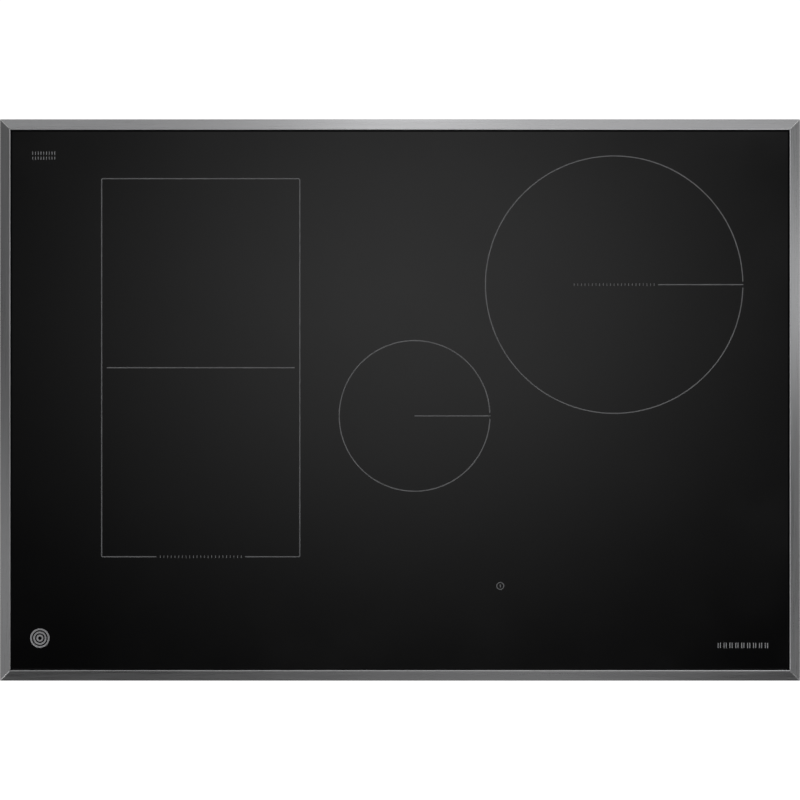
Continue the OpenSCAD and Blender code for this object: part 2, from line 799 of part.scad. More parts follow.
// One closed tube along a list of points.
module wire(r, side, points) {
    sides = 8;
    path = smooth(points, 4);
    count = len(path);
    rings = [for (i = [0:count - 1]) let (
        along = unit(path[min(i + 1, count - 1)] - path[max(i - 1, 0)]),
        u = unit(cross(side, along)),
        v = cross(along, u)
    ) each [for (k = [0:sides - 1]) path[i] + r * (cos(k * 360 / sides) * u + sin(k * 360 / sides) * v)]];
    walls = [for (i = [0:count - 2], k = [0:sides - 1]) let (
        a = i * sides + k, b = i * sides + (k + 1) % sides
    ) each [[a, a + sides, b], [b, a + sides, b + sides]]];
    first = [for (k = [0:sides - 1]) k];
    last = [for (k = [sides - 1:-1:0]) (count - 1) * sides + k];
    polyhedron(rings, concat(walls, [first, last]));
}

module wiring_harness() {
    color([0.85, 0.85, 0.8]) for (w = wires) wire(w[0], w[1], w[2]);
}

// ---- Every part by name ----

glass_top();
trim_front();
trim_rear();
trim_left();
trim_right();
glass_bond();
worktop_gasket();
support_frame();
burner_box();
conduit_pocket();
vent_grilles();
m4_screws();
coil_deck();
deck_posts();
flex_base(flex_front_at);  // coil_base_flex_front
flex_base(flex_rear_at);  // coil_base_flex_rear
round_base(large_at, large_base_r, large_pins);  // coil_base_large
round_base(small_at, small_base_r, small_pins);  // coil_base_small
ferrites(flex_front_at, 8, 22.5, 28, 76, 12);  // ferrites_flex_front
ferrites(flex_rear_at, 8, 22.5, 28, 76, 12);  // ferrites_flex_rear
ferrites(large_at, 8, 22.5, 30, 104, 14);  // ferrites_large
ferrites(small_at, 6, 30, 22, 62, 12);  // ferrites_small
flex_winding(flex_front_at);  // winding_flex_front
flex_winding(flex_rear_at);  // winding_flex_rear
round_winding(large_at, large_r, 28);  // winding_large
round_winding(small_at, small_r, 20);  // winding_small
flex_mica(flex_front_at);  // mica_flex_front
flex_mica(flex_rear_at);  // mica_flex_rear
round_mica(large_at, large_r - 1);  // mica_large
round_mica(small_at, small_r - 1);  // mica_small
sensor(flex_front_at);  // sensor_flex_front
sensor(flex_rear_at);  // sensor_flex_rear
sensor(large_at);  // sensor_large
sensor(small_at);  // sensor_small
springs(flex_front_at, flex_pins);  // springs_flex_front
springs(flex_rear_at, flex_pins);  // springs_flex_rear
springs(large_at, large_pins);  // springs_large
springs(small_at, small_pins);  // springs_small
electronics_tray();
inverter_boards();
filter_board();
heat_sinks();
power_transistors();
capacitors();
chokes();
fan_housings();
fan_rotor(-1);  // fan_rotor_left
fan_rotor(1);  // fan_rotor_right
touch_board();
touch_carrier();
touch_springs();
terminal_block();
terminal_cover();
cable_gland();
clamp_brackets();
clamp_foot(-1);  // clamp_foot_left
clamp_foot(1);  // clamp_foot_right
clamp_screw(-1);  // clamp_screw_left
clamp_screw(1);  // clamp_screw_right
wiring_harness();
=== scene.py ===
"""Dresses a drop-in induction cooktop: black glass panel, mitred steel frame and vented burner box.

Every length is in metres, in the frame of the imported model: +X right, +Y to the back, +Z up.
"""

import logging
import math
from dataclasses import dataclass, field
from enum import Enum

import bpy
import numpy as np
from mathutils import Matrix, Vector
from numpy.typing import NDArray


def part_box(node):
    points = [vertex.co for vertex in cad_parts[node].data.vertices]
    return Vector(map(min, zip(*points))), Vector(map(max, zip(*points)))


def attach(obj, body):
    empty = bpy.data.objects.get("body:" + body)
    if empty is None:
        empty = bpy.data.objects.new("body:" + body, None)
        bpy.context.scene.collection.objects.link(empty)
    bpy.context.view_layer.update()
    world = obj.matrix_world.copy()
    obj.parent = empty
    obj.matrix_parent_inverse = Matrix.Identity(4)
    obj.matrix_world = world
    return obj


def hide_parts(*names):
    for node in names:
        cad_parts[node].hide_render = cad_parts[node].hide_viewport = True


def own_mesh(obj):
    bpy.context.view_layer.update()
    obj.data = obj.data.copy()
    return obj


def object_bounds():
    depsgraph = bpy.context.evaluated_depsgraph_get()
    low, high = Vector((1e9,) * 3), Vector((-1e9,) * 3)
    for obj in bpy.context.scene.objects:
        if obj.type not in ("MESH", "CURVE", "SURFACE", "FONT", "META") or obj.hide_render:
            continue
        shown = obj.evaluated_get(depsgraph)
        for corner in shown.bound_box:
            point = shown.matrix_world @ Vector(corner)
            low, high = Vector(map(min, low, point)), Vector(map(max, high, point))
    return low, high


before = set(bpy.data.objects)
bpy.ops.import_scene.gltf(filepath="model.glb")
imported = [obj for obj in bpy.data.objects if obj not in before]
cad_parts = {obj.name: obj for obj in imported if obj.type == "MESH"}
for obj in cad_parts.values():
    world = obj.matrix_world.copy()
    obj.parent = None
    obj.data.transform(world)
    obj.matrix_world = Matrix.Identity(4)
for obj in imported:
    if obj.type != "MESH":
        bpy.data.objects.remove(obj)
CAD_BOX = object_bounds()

LOG = logging.getLogger("cooktop")
MM = 0.001
TAU = 2 * math.pi

Array = NDArray[np.float64]
Triple = tuple[float, float, float]
Colour = Triple
Socket = bpy.types.NodeSocket
ONES: Triple = (1, 1, 1)
UP: Triple = (0, 0, 1)
CORNERS = ((1, 1), (-1, 1), (-1, -1), (1, -1))


# ---- Surfaces as arrays ----


@dataclass
class Shell:
    """A surface held as arrays: points, four-sided and three-sided faces, and a UV pair for each corner."""

    points: Array
    quads: Array
    quad_uv: Array
    tris: Array = field(default_factory=lambda: np.zeros((0, 3), int))
    tri_uv: Array = field(default_factory=lambda: np.zeros((0, 3, 2)))

    def moved(self, offset: Array | Triple) -> "Shell":
        """Returns the same surface shifted by an offset."""
        return Shell(self.points + np.asarray(offset), self.quads, self.quad_uv, self.tris, self.tri_uv)

    def turned(self, matrix: Array) -> "Shell":
        """Returns the same surface turned by a rotation matrix."""
        return Shell(self.points @ np.asarray(matrix).T, self.quads, self.quad_uv, self.tris, self.tri_uv)

    def outward(self) -> "Shell":
        """Turns a closed surface the right way out.

        The signed volume is the sum of the triple products of every face's corners over six, and it is
        negative when the faces look inwards.

        Returns:
            The surface with every face pointing outwards.
        """
        corners = np.concatenate([self.tris, self.quads[:, :3], self.quads[:, [0, 2, 3]]])
        a, b, c = (self.points[corners[:, i]] for i in range(3))
        if np.einsum("ij,ij->i", a, np.cross(b, c)).sum() >= 0:
            return self
        flipped = (part[:, ::-1] for part in (self.quads, self.quad_uv, self.tris, self.tri_uv))
        return Shell(self.points, *flipped)


def join(shells: list[Shell]) -> Shell:
    """Puts several surfaces into one, one after another.

    Args:
        shells: The surfaces to gather.

    Returns:
        One surface with all their points and faces.
    """
    starts = np.cumsum([0] + [len(s.points) for s in shells[:-1]])
    return Shell(
        np.concatenate([s.points for s in shells]),
        np.concatenate([s.quads + k for s, k in zip(shells, starts)]),
        np.concatenate([s.quad_uv for s in shells]),
        np.concatenate([s.tris + k for s, k in zip(shells, starts)]),
        np.concatenate([s.tri_uv for s in shells]),
    )


def lattice(points: Array, wrap_u: bool = False, wrap_v: bool = False, caps: bool = False) -> Shell:
    """Joins a grid of points into four-sided faces, one between each point and its next neighbours.

    Args:
        points: The grid, shaped (u, v, 3).
        wrap_u: Whether the last row meets the first.
        wrap_v: Whether the last column meets the first.
        caps: Whether the first and last rows are each closed by a fan about their middle.

    Returns:
        The surface, the right way out if it is closed.
    """
    nu, nv = points.shape[:2]
    rows, columns = nu if wrap_u else nu - 1, nv if wrap_v else nv - 1
    u, v = np.meshgrid(np.arange(rows), np.arange(columns), indexing="ij")
    corner_u = np.stack([u, u + 1, u + 1, u], axis=-1).reshape(-1, 4)
    corner_v = np.stack([v, v, v + 1, v + 1], axis=-1).reshape(-1, 4)
    quads = (corner_u % nu) * nv + corner_v % nv
    quad_uv = np.stack([corner_u / nu, corner_v / nv], axis=-1)
    shell = Shell(points.reshape(-1, 3), quads, quad_uv)
    if caps:
        ring = np.arange(nv)
        after = (ring + 1) % nv
        first = np.stack([after, ring, np.full(nv, nu * nv)], axis=-1)
        last = np.stack([ring, after, np.full(nv, nu * nv + 1)], axis=-1)
        last[:, :2] += (nu - 1) * nv
        middles = np.stack([points[0].mean(axis=0), points[-1].mean(axis=0)])
        shell.points = np.concatenate([shell.points, middles])
        shell.tris = np.concatenate([first, last])
        around = np.stack([ring / nv, (ring + 1) / nv, (ring + 0.5) / nv], axis=-1)
        shell.tri_uv = np.concatenate([np.stack([0 * around + end, around], axis=-1) for end in (0, 1)])
    return shell.outward() if caps or (wrap_u and wrap_v) else shell


def unit(vectors: Array) -> Array:
    """Returns rows of vectors, each scaled to a length of one."""
    return vectors / np.linalg.norm(vectors, axis=1, keepdims=True)


def square_to(path: Array, up: Triple) -> tuple[Array, Array]:
    """Works out two directions square to a path at each of its points.

    Side is the path's direction crossed with up, and other is side crossed with the direction.

    Args:
        path: The path's points, shaped (n, 3).
        up: A direction that the path never follows.

    Returns:
        Side and other.
    """
    ahead = unit(np.gradient(path, axis=0))
    side = unit(np.cross(ahead, np.asarray(up, float)))
    return side, np.cross(side, ahead)


def evenly(sides: int) -> Array:
    """Returns angles spaced evenly round a circle."""
    return np.arange(sides) * TAU / sides


def swept(path: Array, radius: float, sides: int, side: Array, other: Array) -> Shell:
    """Carries a circle along a path: centre + radius (cos a * side + sin a * other).

    Args:
        path: The circle's centres, shaped (n, 3).
        radius: The circle's radius.
        sides: How many points the circle has.
        side: A direction square to the path at each centre.
        other: The direction square to both.

    Returns:
        The closed tube.
    """
    angle = evenly(sides)[None, :, None]
    ring = np.cos(angle) * side[:, None] + np.sin(angle) * other[:, None]
    return lattice(path[:, None] + radius * ring, wrap_v=True, caps=True)


def tube(path: Array, radius: float, sides: int, up: Triple = UP) -> Shell:
    """Returns a round tube along a path that never runs along a given direction."""
    return swept(path, radius, sides, *square_to(path, up))


def turned_shape(profile: list[tuple[float, float]] | Array, steps: int, loop: bool = False) -> Shell:
    """Turns a profile of (radius, height) pairs about the Z axis: (r cos a, r sin a, z).

    Args:
        profile: The pairs, from one end to the other.
        steps: How many points each circle has.
        loop: Whether the profile closes on itself, as a ring's does.

    Returns:
        The closed solid of revolution.
    """
    r, z = np.asarray(profile, float).T[:, :, None]
    angle = evenly(steps)
    points = np.stack([r * np.cos(angle), r * np.sin(angle), z + 0 * angle], axis=-1)
    return lattice(points, wrap_u=loop, wrap_v=True, caps=not loop)


def ribbon(path: Array, width: float, low: float, high: float, loop: bool = False) -> Shell:
    """Carries a rectangle along a flat path: half the width to each side of it, between two heights.

    Args:
        path: The middle line in plan, shaped (n, 2).
        width: The ribbon's width.
        low: The height of its underside.
        high: The height of its top.
        loop: Whether the path closes on itself.

    Returns:
        The closed ribbon.
    """
    ahead = np.roll(path, -1, axis=0) - np.roll(path, 1, axis=0) if loop else np.gradient(path, axis=0)
    ahead = unit(ahead)
    left = np.stack([-ahead[:, 1], ahead[:, 0]], axis=-1) * width / 2
    corners = [(left, low), (-left, low), (-left, high), (left, high)]
    rows = [np.column_stack([path + shift, np.full(len(path), z)]) for shift, z in corners]
    return lattice(np.stack(rows, axis=1), wrap_u=loop, wrap_v=True, caps=not loop)


def arc(centre: Array, radius: float, start: float, stop: float, steps: int) -> Array:
    """Returns points on a circle in plan, centre + radius (cos a, sin a), between two angles in degrees."""
    a = np.radians(np.linspace(start, stop, steps))
    return np.asarray(centre)[:2] + radius * np.stack([np.cos(a), np.sin(a)], axis=-1)


def slab(low: Triple, high: Triple, round_off: float, steps: int = 4) -> Shell:
    """Makes a block with rounded upright and top edges, as a stack of rounded rectangles.

    Each level is the block's outline with corners of the given radius. The last levels step in along a
    quarter circle: inset = r (1 - cos a), height = top - r (1 - sin a).

    Args:
        low: The block's lowest corner.
        high: Its highest corner.
        round_off: The radius of its corners.
        steps: How many points each corner has.

    Returns:
        The closed block.
    """
    a, b = np.asarray(low, float), np.asarray(high, float)
    half, centre = (b - a)[:2] / 2, ((a + b) / 2)[:2]
    turn = np.radians(np.linspace(0, 90, steps))
    inset = np.concatenate([[0.0], round_off * (1 - np.cos(turn))])
    height = np.concatenate([[a[2]], b[2] - round_off * (1 - np.sin(turn))])
    sweep = (turn + evenly(4)[:, None]).ravel()
    signs = np.array(CORNERS).repeat(steps, axis=0)
    ring = signs * (half - round_off) + round_off * np.stack([np.cos(sweep), np.sin(sweep)], axis=-1)
    shrink = 1 - inset[:, None, None] / half
    plan = centre + ring[None] * shrink
    levels = np.broadcast_to(height[:, None, None], (len(height), len(ring), 1))
    return lattice(np.concatenate([plan, levels], axis=-1), wrap_v=True, caps=True)


def smooth_route(points: Array, steps: int) -> Array:
    """Draws a smooth curve through points, by the cubic that passes each with its neighbours' mean slope.

    Between p1 and p2 it is p1 + t (p2 - p0) / 2 + t^2 (p0 - 2.5 p1 + 2 p2 - p3 / 2)
    + t^3 (1.5 p1 - 1.5 p2 + (p3 - p0) / 2).

    Args:
        points: The points, shaped (n, 3).
        steps: How many points are made from each one to the next.

    Returns:
        The curve's points.
    """
    p = np.concatenate([points[:1], points, points[-1:]])
    p0, p1, p2, p3 = (p[i : len(p) - 3 + i, None] for i in range(4))
    t = (np.arange(steps) / steps)[None, :, None]
    curve = (
        p1 + t * (p2 - p0) / 2 + t**2 * (p0 - 2.5 * p1 + 2 * p2 - p3 / 2)
        + t**3 * (1.5 * p1 - 1.5 * p2 + (p3 - p0) / 2)
    )
    return np.concatenate([curve.reshape(-1, 3), points[-1:]])


def coil_spring(radius: float, wire: float, low: float, high: float, turns: float, sides: int = 8) -> Shell:
    """Makes a helical spring with closed ends about the Z axis.

    The wire's centre is (r cos a, r sin a, z). The end turns lie almost flat, and z rises between them.

    Args:
        radius: The radius of the wire's centre line.
        wire: The wire's own radius.
        low: Where the spring starts.
        high: Where it ends.
        turns: How many turns it has.
        sides: How many sides the wire has.

    Returns:
        The closed spring.
    """
    flat, steps, slope = 0.8, 20, 0.06
    t = np.linspace(0, 1, int(turns * steps))
    angle = t * turns * TAU
    rise = np.clip((t * turns - flat) / (turns - 2 * flat), 0, 1)
    z = low + wire + (high - low - 2 * wire) * (slope * t + (1 - slope) * rise)
    path = np.stack([radius * np.cos(angle), radius * np.sin(angle), z], axis=-1)
    return tube(path, wire, sides)


# ---- Finishes ----


class Graph:
    """A material's node tree, with short calls for the nodes that the finishes use."""

    def __init__(self, name: str) -> None:
        """Starts a material with one Principled shader.

        Args:
            name: The material's name.
        """
        self.material = bpy.data.materials.new(name)
        self.material.use_nodes = True
        self.tree = self.material.node_tree
        self.tree.nodes.clear()
        self.shader = self.tree.nodes.new("ShaderNodeBsdfPrincipled")
        output = self.tree.nodes.new("ShaderNodeOutputMaterial")
        self.tree.links.new(self.shader.outputs["BSDF"], output.inputs["Surface"])

    def coat(self, inputs: dict[str, object]) -> bpy.types.Material:
        """Feeds the shader and returns the finished material."""
        self.feed(self.shader, inputs)
        return self.material

    def node(self, kind: str, inputs: dict[str | int, object], **settings: object) -> bpy.types.Node:
        """Adds a node, sets it up and feeds its inputs.

        Args:
            kind: The node's type.
            inputs: A value or another node's output for each named or numbered input.
            **settings: The node's own properties.

        Returns:
            The new node.
        """
        made = self.tree.nodes.new(kind)
        for key, value in settings.items():
            setattr(made, key, value)
        self.feed(made, inputs)
        return made

    def feed(self, node: bpy.types.Node, inputs: dict[str | int, object]) -> None:
        """Sets or links a node's inputs.

        Args:
            node: The node to feed.
            inputs: A value or another node's output for each input.
        """
        for key, value in inputs.items():
            if isinstance(value, Socket):
                self.tree.links.new(value, node.inputs[key])
            else:
                node.inputs[key].default_value = value

    def place(self, scale: Triple, turn: Triple = (0, 0, 0)) -> Socket:
        """Returns the object's own coordinates, stretched and turned."""
        spot = self.node("ShaderNodeTexCoord", {}).outputs["Object"]
        return self.node("ShaderNodeMapping", {"Vector": spot, "Scale": scale, "Rotation": turn}).outputs[0]

    def along(self, scale: Triple) -> Socket:
        """Returns the piece's own UV map, stretched."""
        spot = self.node("ShaderNodeTexCoord", {}).outputs["UV"]
        return self.node("ShaderNodeMapping", {"Vector": spot, "Scale": scale}).outputs[0]

    def noise(self, at: Socket, scale: float, detail: float = 3.0) -> Socket:
        """Returns cloudy noise from 0 to 1."""
        settings = {"Vector": at, "Scale": scale, "Detail": detail, "Roughness": 0.55}
        return self.node("ShaderNodeTexNoise", settings).outputs[0]

    def cells(self, at: Socket, scale: float, scatter: float = 1.0, **settings: object) -> bpy.types.Node:
        """Returns a cell pattern's node, with its cells scattered or in even rows."""
        inputs = {"Vector": at, "Scale": scale, "Randomness": scatter}
        return self.node("ShaderNodeTexVoronoi", inputs, **settings)

    def wave(self, at: Socket, scale: float, direction: str = "X") -> Socket:
        """Returns even bands from 0 to 1."""
        inputs = {"Vector": at, "Scale": scale}
        return self.node("ShaderNodeTexWave", inputs, bands_direction=direction).outputs["Fac"]

    def cell_tone(self, cells: bpy.types.Node) -> Socket:
        """Returns a value that stays the same across each cell of a pattern."""
        return self.node("ShaderNodeSeparateColor", {"Color": cells.outputs["Color"]}).outputs[0]

    def vectors(self, work: str, inputs: dict[str | int, object]) -> Socket:
        """Returns the sum, difference or scaling of vectors."""
        return self.node("ShaderNodeVectorMath", inputs, operation=work).outputs[0]

    def span(self, value: Socket, low: float, high: float, start: float = 0.0, stop: float = 1.0) -> Socket:
        """Returns a value carried from start..stop to low..high."""
        limits = {"Value": value, "From Min": start, "From Max": stop, "To Min": low, "To Max": high}
        return self.node("ShaderNodeMapRange", limits).outputs[0]

    def maths(self, work: str, a: object, b: object = 0.0) -> Socket:
        """Returns the sum, product or other working of two values."""
        return self.node("ShaderNodeMath", {0: a, 1: b}, operation=work).outputs[0]

    def blend(self, a: Socket, b: Socket, share: float = 0.5) -> Socket:
        """Returns a share of one value plus the rest of another."""
        return self.maths("ADD", self.maths("MULTIPLY", a, share), self.maths("MULTIPLY", b, 1 - share))

    def tones(self, value: Socket, colour: Colour, *stops: tuple[float, float]) -> Socket:
        """Returns a colour in lighter and darker tones, by pairs of position and share of the colour."""
        return self.ramp(value, [(position, shade(colour, share)) for position, share in stops])

    def ramp(self, value: Socket, stops: list[tuple[float, Colour]]) -> Socket:
        """Returns a colour that runs through stops as a value rises.

        Args:
            value: What drives the colour.
            stops: Pairs of position and colour.

        Returns:
            The colour.
        """
        made = self.node("ShaderNodeValToRGB", {"Fac": value})
        marks = made.color_ramp.elements
        while len(marks) < len(stops):
            marks.new(0.5)
        for mark, (position, colour) in zip(marks, stops):
            mark.position = position
            mark.color = (*colour, 1.0)
        return made.outputs["Color"]

    def bump(self, height: Socket, strength: float, depth: float, under: Socket | None = None) -> Socket:
        """Returns a normal bent by a height, on top of another if one is given."""
        inputs: dict[str | int, object] = {"Height": height, "Strength": strength, "Distance": depth}
        if under is not None:
            inputs["Normal"] = under
        return self.node("ShaderNodeBump", inputs).outputs[0]

    def on_card(self) -> tuple[Socket, Socket]:
        """Returns how far along and up a studio card a point is."""
        spot = self.node("ShaderNodeTexCoord", {}).outputs["Object"]
        parts = self.node("ShaderNodeSeparateXYZ", {0: spot}).outputs
        return parts[0], parts[1]

    def bell(self, square: Socket) -> Socket:
        """Returns exp(-square)."""
        return self.maths("EXPONENT", self.maths("MULTIPLY", square, -1.0))

    def glow(self, settings: dict[str, Socket]) -> bpy.types.Material:
        """Turns the material into a plain glow and returns it."""
        self.tree.nodes.remove(self.shader)
        shine = self.node("ShaderNodeEmission", settings)
        output = next(n for n in self.tree.nodes if n.bl_idname == "ShaderNodeOutputMaterial")
        self.tree.links.new(shine.outputs[0], output.inputs["Surface"])
        return self.material


def shade(colour: Colour, share: float) -> Colour:
    """Returns a colour made lighter or darker by a share."""
    return tuple(min(1.0, c * share) for c in colour)


class Grain(Enum):
    """The way that a metal's brushing or rolling runs."""

    ALONG_X = (1, 0, 0)
    ALONG_Y = (0, 1, 0)


@dataclass(frozen=True)
class BrushedSteel:
    """Stainless steel with long brush lines: noise drawn out along the grain and fine across it.

    The highlight is drawn out across the grain, so the tangent lies across it too.
    """

    grain: Grain
    colour: Colour = (0.475, 0.476, 0.484)
    line_pitch: float = 0.35 * MM
    line_length: float = 45 * MM

    def build(self) -> bpy.types.Material:
        """Returns the steel, with its brush lines in colour, roughness and relief."""
        g = Graph(f"brushed_steel_{self.grain.name.lower()}")
        fine, long = 1 / self.line_pitch, 1 / self.line_length
        ahead_x, ahead_y, _ = self.grain.value
        lines = g.noise(g.place(tuple(long if axis else fine for axis in self.grain.value)), 1.0, 4.0)
        broad = g.noise(g.place(tuple(6.0 if axis else 160.0 for axis in self.grain.value)), 1.0, 2.0)
        both = g.blend(lines, broad, 0.6)
        return g.coat({
            "Base Color": g.tones(both, self.colour, (0.3, 0.91), (0.7, 1.08)),
            "Metallic": 1.0,
            "Roughness": g.span(both, 0.24, 0.36, 0.3, 0.7),
            "Anisotropic": 0.72,
            "Tangent": g.node("ShaderNodeCombineXYZ", {"X": ahead_y, "Y": ahead_x, "Z": 0.0}).outputs[0],
            "Normal": g.bump(lines, 0.25, 0.02 * MM),
        })


@dataclass(frozen=True)
class BlackGlass:
    """Polished black glass-ceramic with a faint orange peel and the thin haze of a wiped surface."""

    colour: Colour = (0.0017, 0.0017, 0.0019)

    def build(self) -> bpy.types.Material:
        """Returns the glass."""
        g = Graph("black_glass")
        haze = g.noise(g.place(ONES, (0, 0, 0.5)), 9.0, 5.0)
        peel = g.noise(g.place(ONES), 55.0, 1.0)
        specks = g.cells(g.place(ONES), 900.0).outputs["Distance"]
        return g.coat({
            "Base Color": g.tones(specks, self.colour, (0.02, 2.6), (0.12, 1.0)),
            "Roughness": g.span(haze, 0.035, 0.085, 0.3, 0.7),
            "IOR": 1.52,
            "Normal": g.bump(peel, 0.04, 0.05 * MM),
        })


@dataclass(frozen=True)
class FiredPrint:
    """Ceramic ink fired onto the glass: a matte grey of fine dots."""

    name: str
    colour: Colour

    def build(self) -> bpy.types.Material:
        """Returns the ink."""
        g = Graph(self.name)
        dots = g.cells(g.place(ONES), 2600.0).outputs["Distance"]
        patches = g.noise(g.place(ONES), 120.0, 2.0)
        cover = g.maths("MULTIPLY", patches, g.span(dots, 0.8, 1.2))
        return g.coat({
            "Base Color": g.tones(cover, self.colour, (0.3, 0.8), (0.7, 1.15)),
            "Roughness": g.span(dots, 0.38, 0.55),
            "Normal": g.bump(dots, 0.2, 0.01 * MM),
        })


@dataclass(frozen=True)
class GalvanisedSheet:
    """Zinc-coated steel sheet: feathered crystals of two sizes, rolling marks and light scuffs."""

    name: str
    colour: Colour = (0.56, 0.58, 0.6)
    crystal: float = 5 * MM
    coarse_crystal: float = 13.5 * MM
    wander: float = 3.5 * MM

    def build(self) -> bpy.types.Material:
        """Returns the sheet, whose crystals have ragged edges because noise shifts where they are read."""
        g = Graph(self.name)
        at = g.place(ONES)
        drift = g.node("ShaderNodeTexNoise", {"Vector": at, "Scale": 260.0, "Detail": 4.0}).outputs["Color"]
        centred = g.vectors("SUBTRACT", {0: drift, 1: (0.5, 0.5, 0.5)})
        ragged = g.vectors("ADD", {0: at, 1: g.vectors("SCALE", {0: centred, "Scale": self.wander})})
        sizes = (self.crystal, self.coarse_crystal)
        small, large = (g.cell_tone(g.cells(ragged, 1 / size)) for size in sizes)
        tone = g.blend(small, large, 0.55)
        rolled = g.noise(g.place((4, 700, 700)), 1.0, 3.0)
        scuffs = g.noise(g.place((30, 220, 60), (0.3, 0.2, 0.7)), 1.0, 6.0)
        mixed = g.blend(tone, scuffs, 0.6)
        return g.coat({
            "Base Color": g.tones(mixed, self.colour, (0.2, 0.82), (0.8, 1.14)),
            "Metallic": 1.0,
            "Roughness": g.span(mixed, 0.34, 0.5, 0.2, 0.8),
            "Normal": g.bump(rolled, 0.12, 0.02 * MM, g.bump(tone, 0.08, 0.02 * MM)),
        })


@dataclass(frozen=True)
class PlainMetal:
    """A worked metal: fine directional marks over mottled plate or mill scale."""

    name: str
    colour: Colour
    roughness: float
    stretch: Triple = (40, 40, 900)
    relief: float = 0.03 * MM

    def build(self) -> bpy.types.Material:
        """Returns the metal."""
        g = Graph(self.name)
        marks = g.noise(g.place(self.stretch), 1.0, 4.0)
        mottle = g.noise(g.place(ONES), 70.0, 3.0)
        both = g.blend(marks, mottle)
        return g.coat({
            "Base Color": g.tones(both, self.colour, (0.32, 0.82), (0.68, 1.1)),
            "Metallic": 1.0,
            "Roughness": g.span(both, self.roughness * 0.8, self.roughness * 1.25, 0.3, 0.7),
            "Normal": g.bump(marks, 0.2, self.relief),
        })


@dataclass(frozen=True)
class Moulding:
    """Moulded plastic or rubber: a fine spark-eroded grain and a slow drift of shade."""

    name: str
    colour: Colour
    roughness: float = 0.48
    grain: float = 0.5 * MM
    relief: float = 0.04 * MM
    gloss: float = 0.5

    def build(self) -> bpy.types.Material:
        """Returns the plastic."""
        g = Graph(self.name)
        grain = g.noise(g.place(ONES), 1 / self.grain, 3.0)
        drift = g.noise(g.place(ONES), 18.0, 3.0)
        return g.coat({
            "Base Color": g.tones(drift, self.colour, (0.3, 0.85), (0.7, 1.1)),
            "Roughness": g.span(grain, self.roughness * 0.85, self.roughness * 1.15, 0.3, 0.7),
            "Specular IOR Level": self.gloss,
            "Normal": g.bump(grain, 0.3, self.relief),
        })


@dataclass(frozen=True)
class Foam:
    """Closed-cell foam tape: open pores cut through on its faces, each painted darker towards its deepest
    middle as painted shade in the hollow.
    """

    name: str
    colour: Colour
    pore: float = 0.9 * MM

    def build(self) -> bpy.types.Material:
        """Returns the foam."""
        g = Graph(self.name)
        pores = g.cells(g.place(ONES), 1 / self.pore).outputs["Distance"]
        return g.coat({
            # Painted shade: each pore is darker towards its middle, where the bump sinks deepest.
            "Base Color": g.tones(pores, self.colour, (0.05, 0.4), (0.5, 1.0)),
            "Roughness": g.span(pores, 0.7, 0.95),
            "Normal": g.bump(pores, 0.6, 0.3 * MM),
        })


@dataclass(frozen=True)
class CircuitBoard:
    """Solder mask over copper: wide poured areas crossed by fine tracks, with rows of tinned pads."""

    name: str = "circuit_board"
    mask: Colour = (0.008, 0.085, 0.034)
    over_copper: Colour = (0.018, 0.15, 0.05)
    tin: Colour = (0.5, 0.5, 0.46)

    def build(self) -> bpy.types.Material:
        """Returns the board: cells make the poured areas, bands in them the tracks, and dots the pads."""
        g = Graph(self.name)
        at = g.place((1, 1, 0.01))
        areas = g.cells(at, 95.0, distance="CHEBYCHEV")
        choice = g.cell_tone(areas)
        turned = g.maths("GREATER_THAN", choice, 0.5)
        along = g.maths("MULTIPLY", g.wave(g.place((1, 0, 0)), 110.0), turned)
        crosswise = g.maths("SUBTRACT", 1.0, turned)
        lines = g.maths("ADD", along, g.maths("MULTIPLY", g.wave(g.place((0, 1, 0)), 110.0, "Y"), crosswise))
        poured = g.span(areas.outputs["Distance"], 0, 1, 0.4, 0.43)
        copper = g.maths("MAXIMUM", g.span(lines, 0, 1, 0.45, 0.6), poured)
        dots = g.cells(at, 390.0, 0.0).outputs["Distance"]
        drilled = g.maths("MULTIPLY", g.maths("LESS_THAN", dots, 0.24), g.maths("GREATER_THAN", choice, 0.78))
        shown = g.maths("ADD", g.maths("MULTIPLY", copper, 0.5), drilled)
        return g.coat({
            "Base Color": g.ramp(shown, [(0.05, self.mask), (0.48, self.over_copper), (0.9, self.tin)]),
            "Metallic": drilled,
            "Roughness": g.span(copper, 0.36, 0.26),
            "Normal": g.bump(g.maths("ADD", copper, drilled), 0.35, 0.035 * MM),
        })


@dataclass(frozen=True)
class TwistedStrands:
    """Many thin strands twisted into one wire: slanting ridges worked out along and round the wire, with
    painted shade darkening the grooves between them.
    """

    name: str
    colour: Colour
    metallic: float
    roughness: float
    twists: float
    strands: float = 7.0

    def build(self) -> bpy.types.Material:
        """Returns the wire."""
        g = Graph(self.name)
        slant = g.along((self.twists, self.strands, 0.0))
        ridges = g.wave(slant, 0.32, "DIAGONAL")
        both = g.blend(ridges, g.noise(g.place(ONES), 40.0, 3.0), 0.7)
        return g.coat({
            # Painted shade: the colour darkens in the grooves between the ridges, where the bump is lowest.
            "Base Color": g.tones(both, self.colour, (0.1, 0.42), (0.75, 1.12)),
            "Metallic": self.metallic,
            "Roughness": g.span(both, self.roughness * 1.3, self.roughness * 0.85),
            "Normal": g.bump(ridges, 0.8, 0.25 * MM),
        })


@dataclass(frozen=True)
class Mineral:
    """A fired or pressed mineral: grains of several shades with a rough break."""

    name: str
    colour: Colour
    grain: float
    roughness: float = 0.7
    sheen_flake: float = 0.0

    def build(self) -> bpy.types.Material:
        """Returns the mineral."""
        g = Graph(self.name)
        grains = g.cells(g.place(ONES), 1 / self.grain)
        both = g.blend(g.cell_tone(grains), g.noise(g.place(ONES), 60.0, 4.0))
        return g.coat({
            "Base Color": g.tones(both, self.colour, (0.25, 0.75), (0.75, 1.2)),
            "Metallic": self.sheen_flake,
            "Roughness": g.span(both, self.roughness * 0.8, self.roughness * 1.15),
            "Normal": g.bump(both, 0.4, 0.08 * MM),
        })


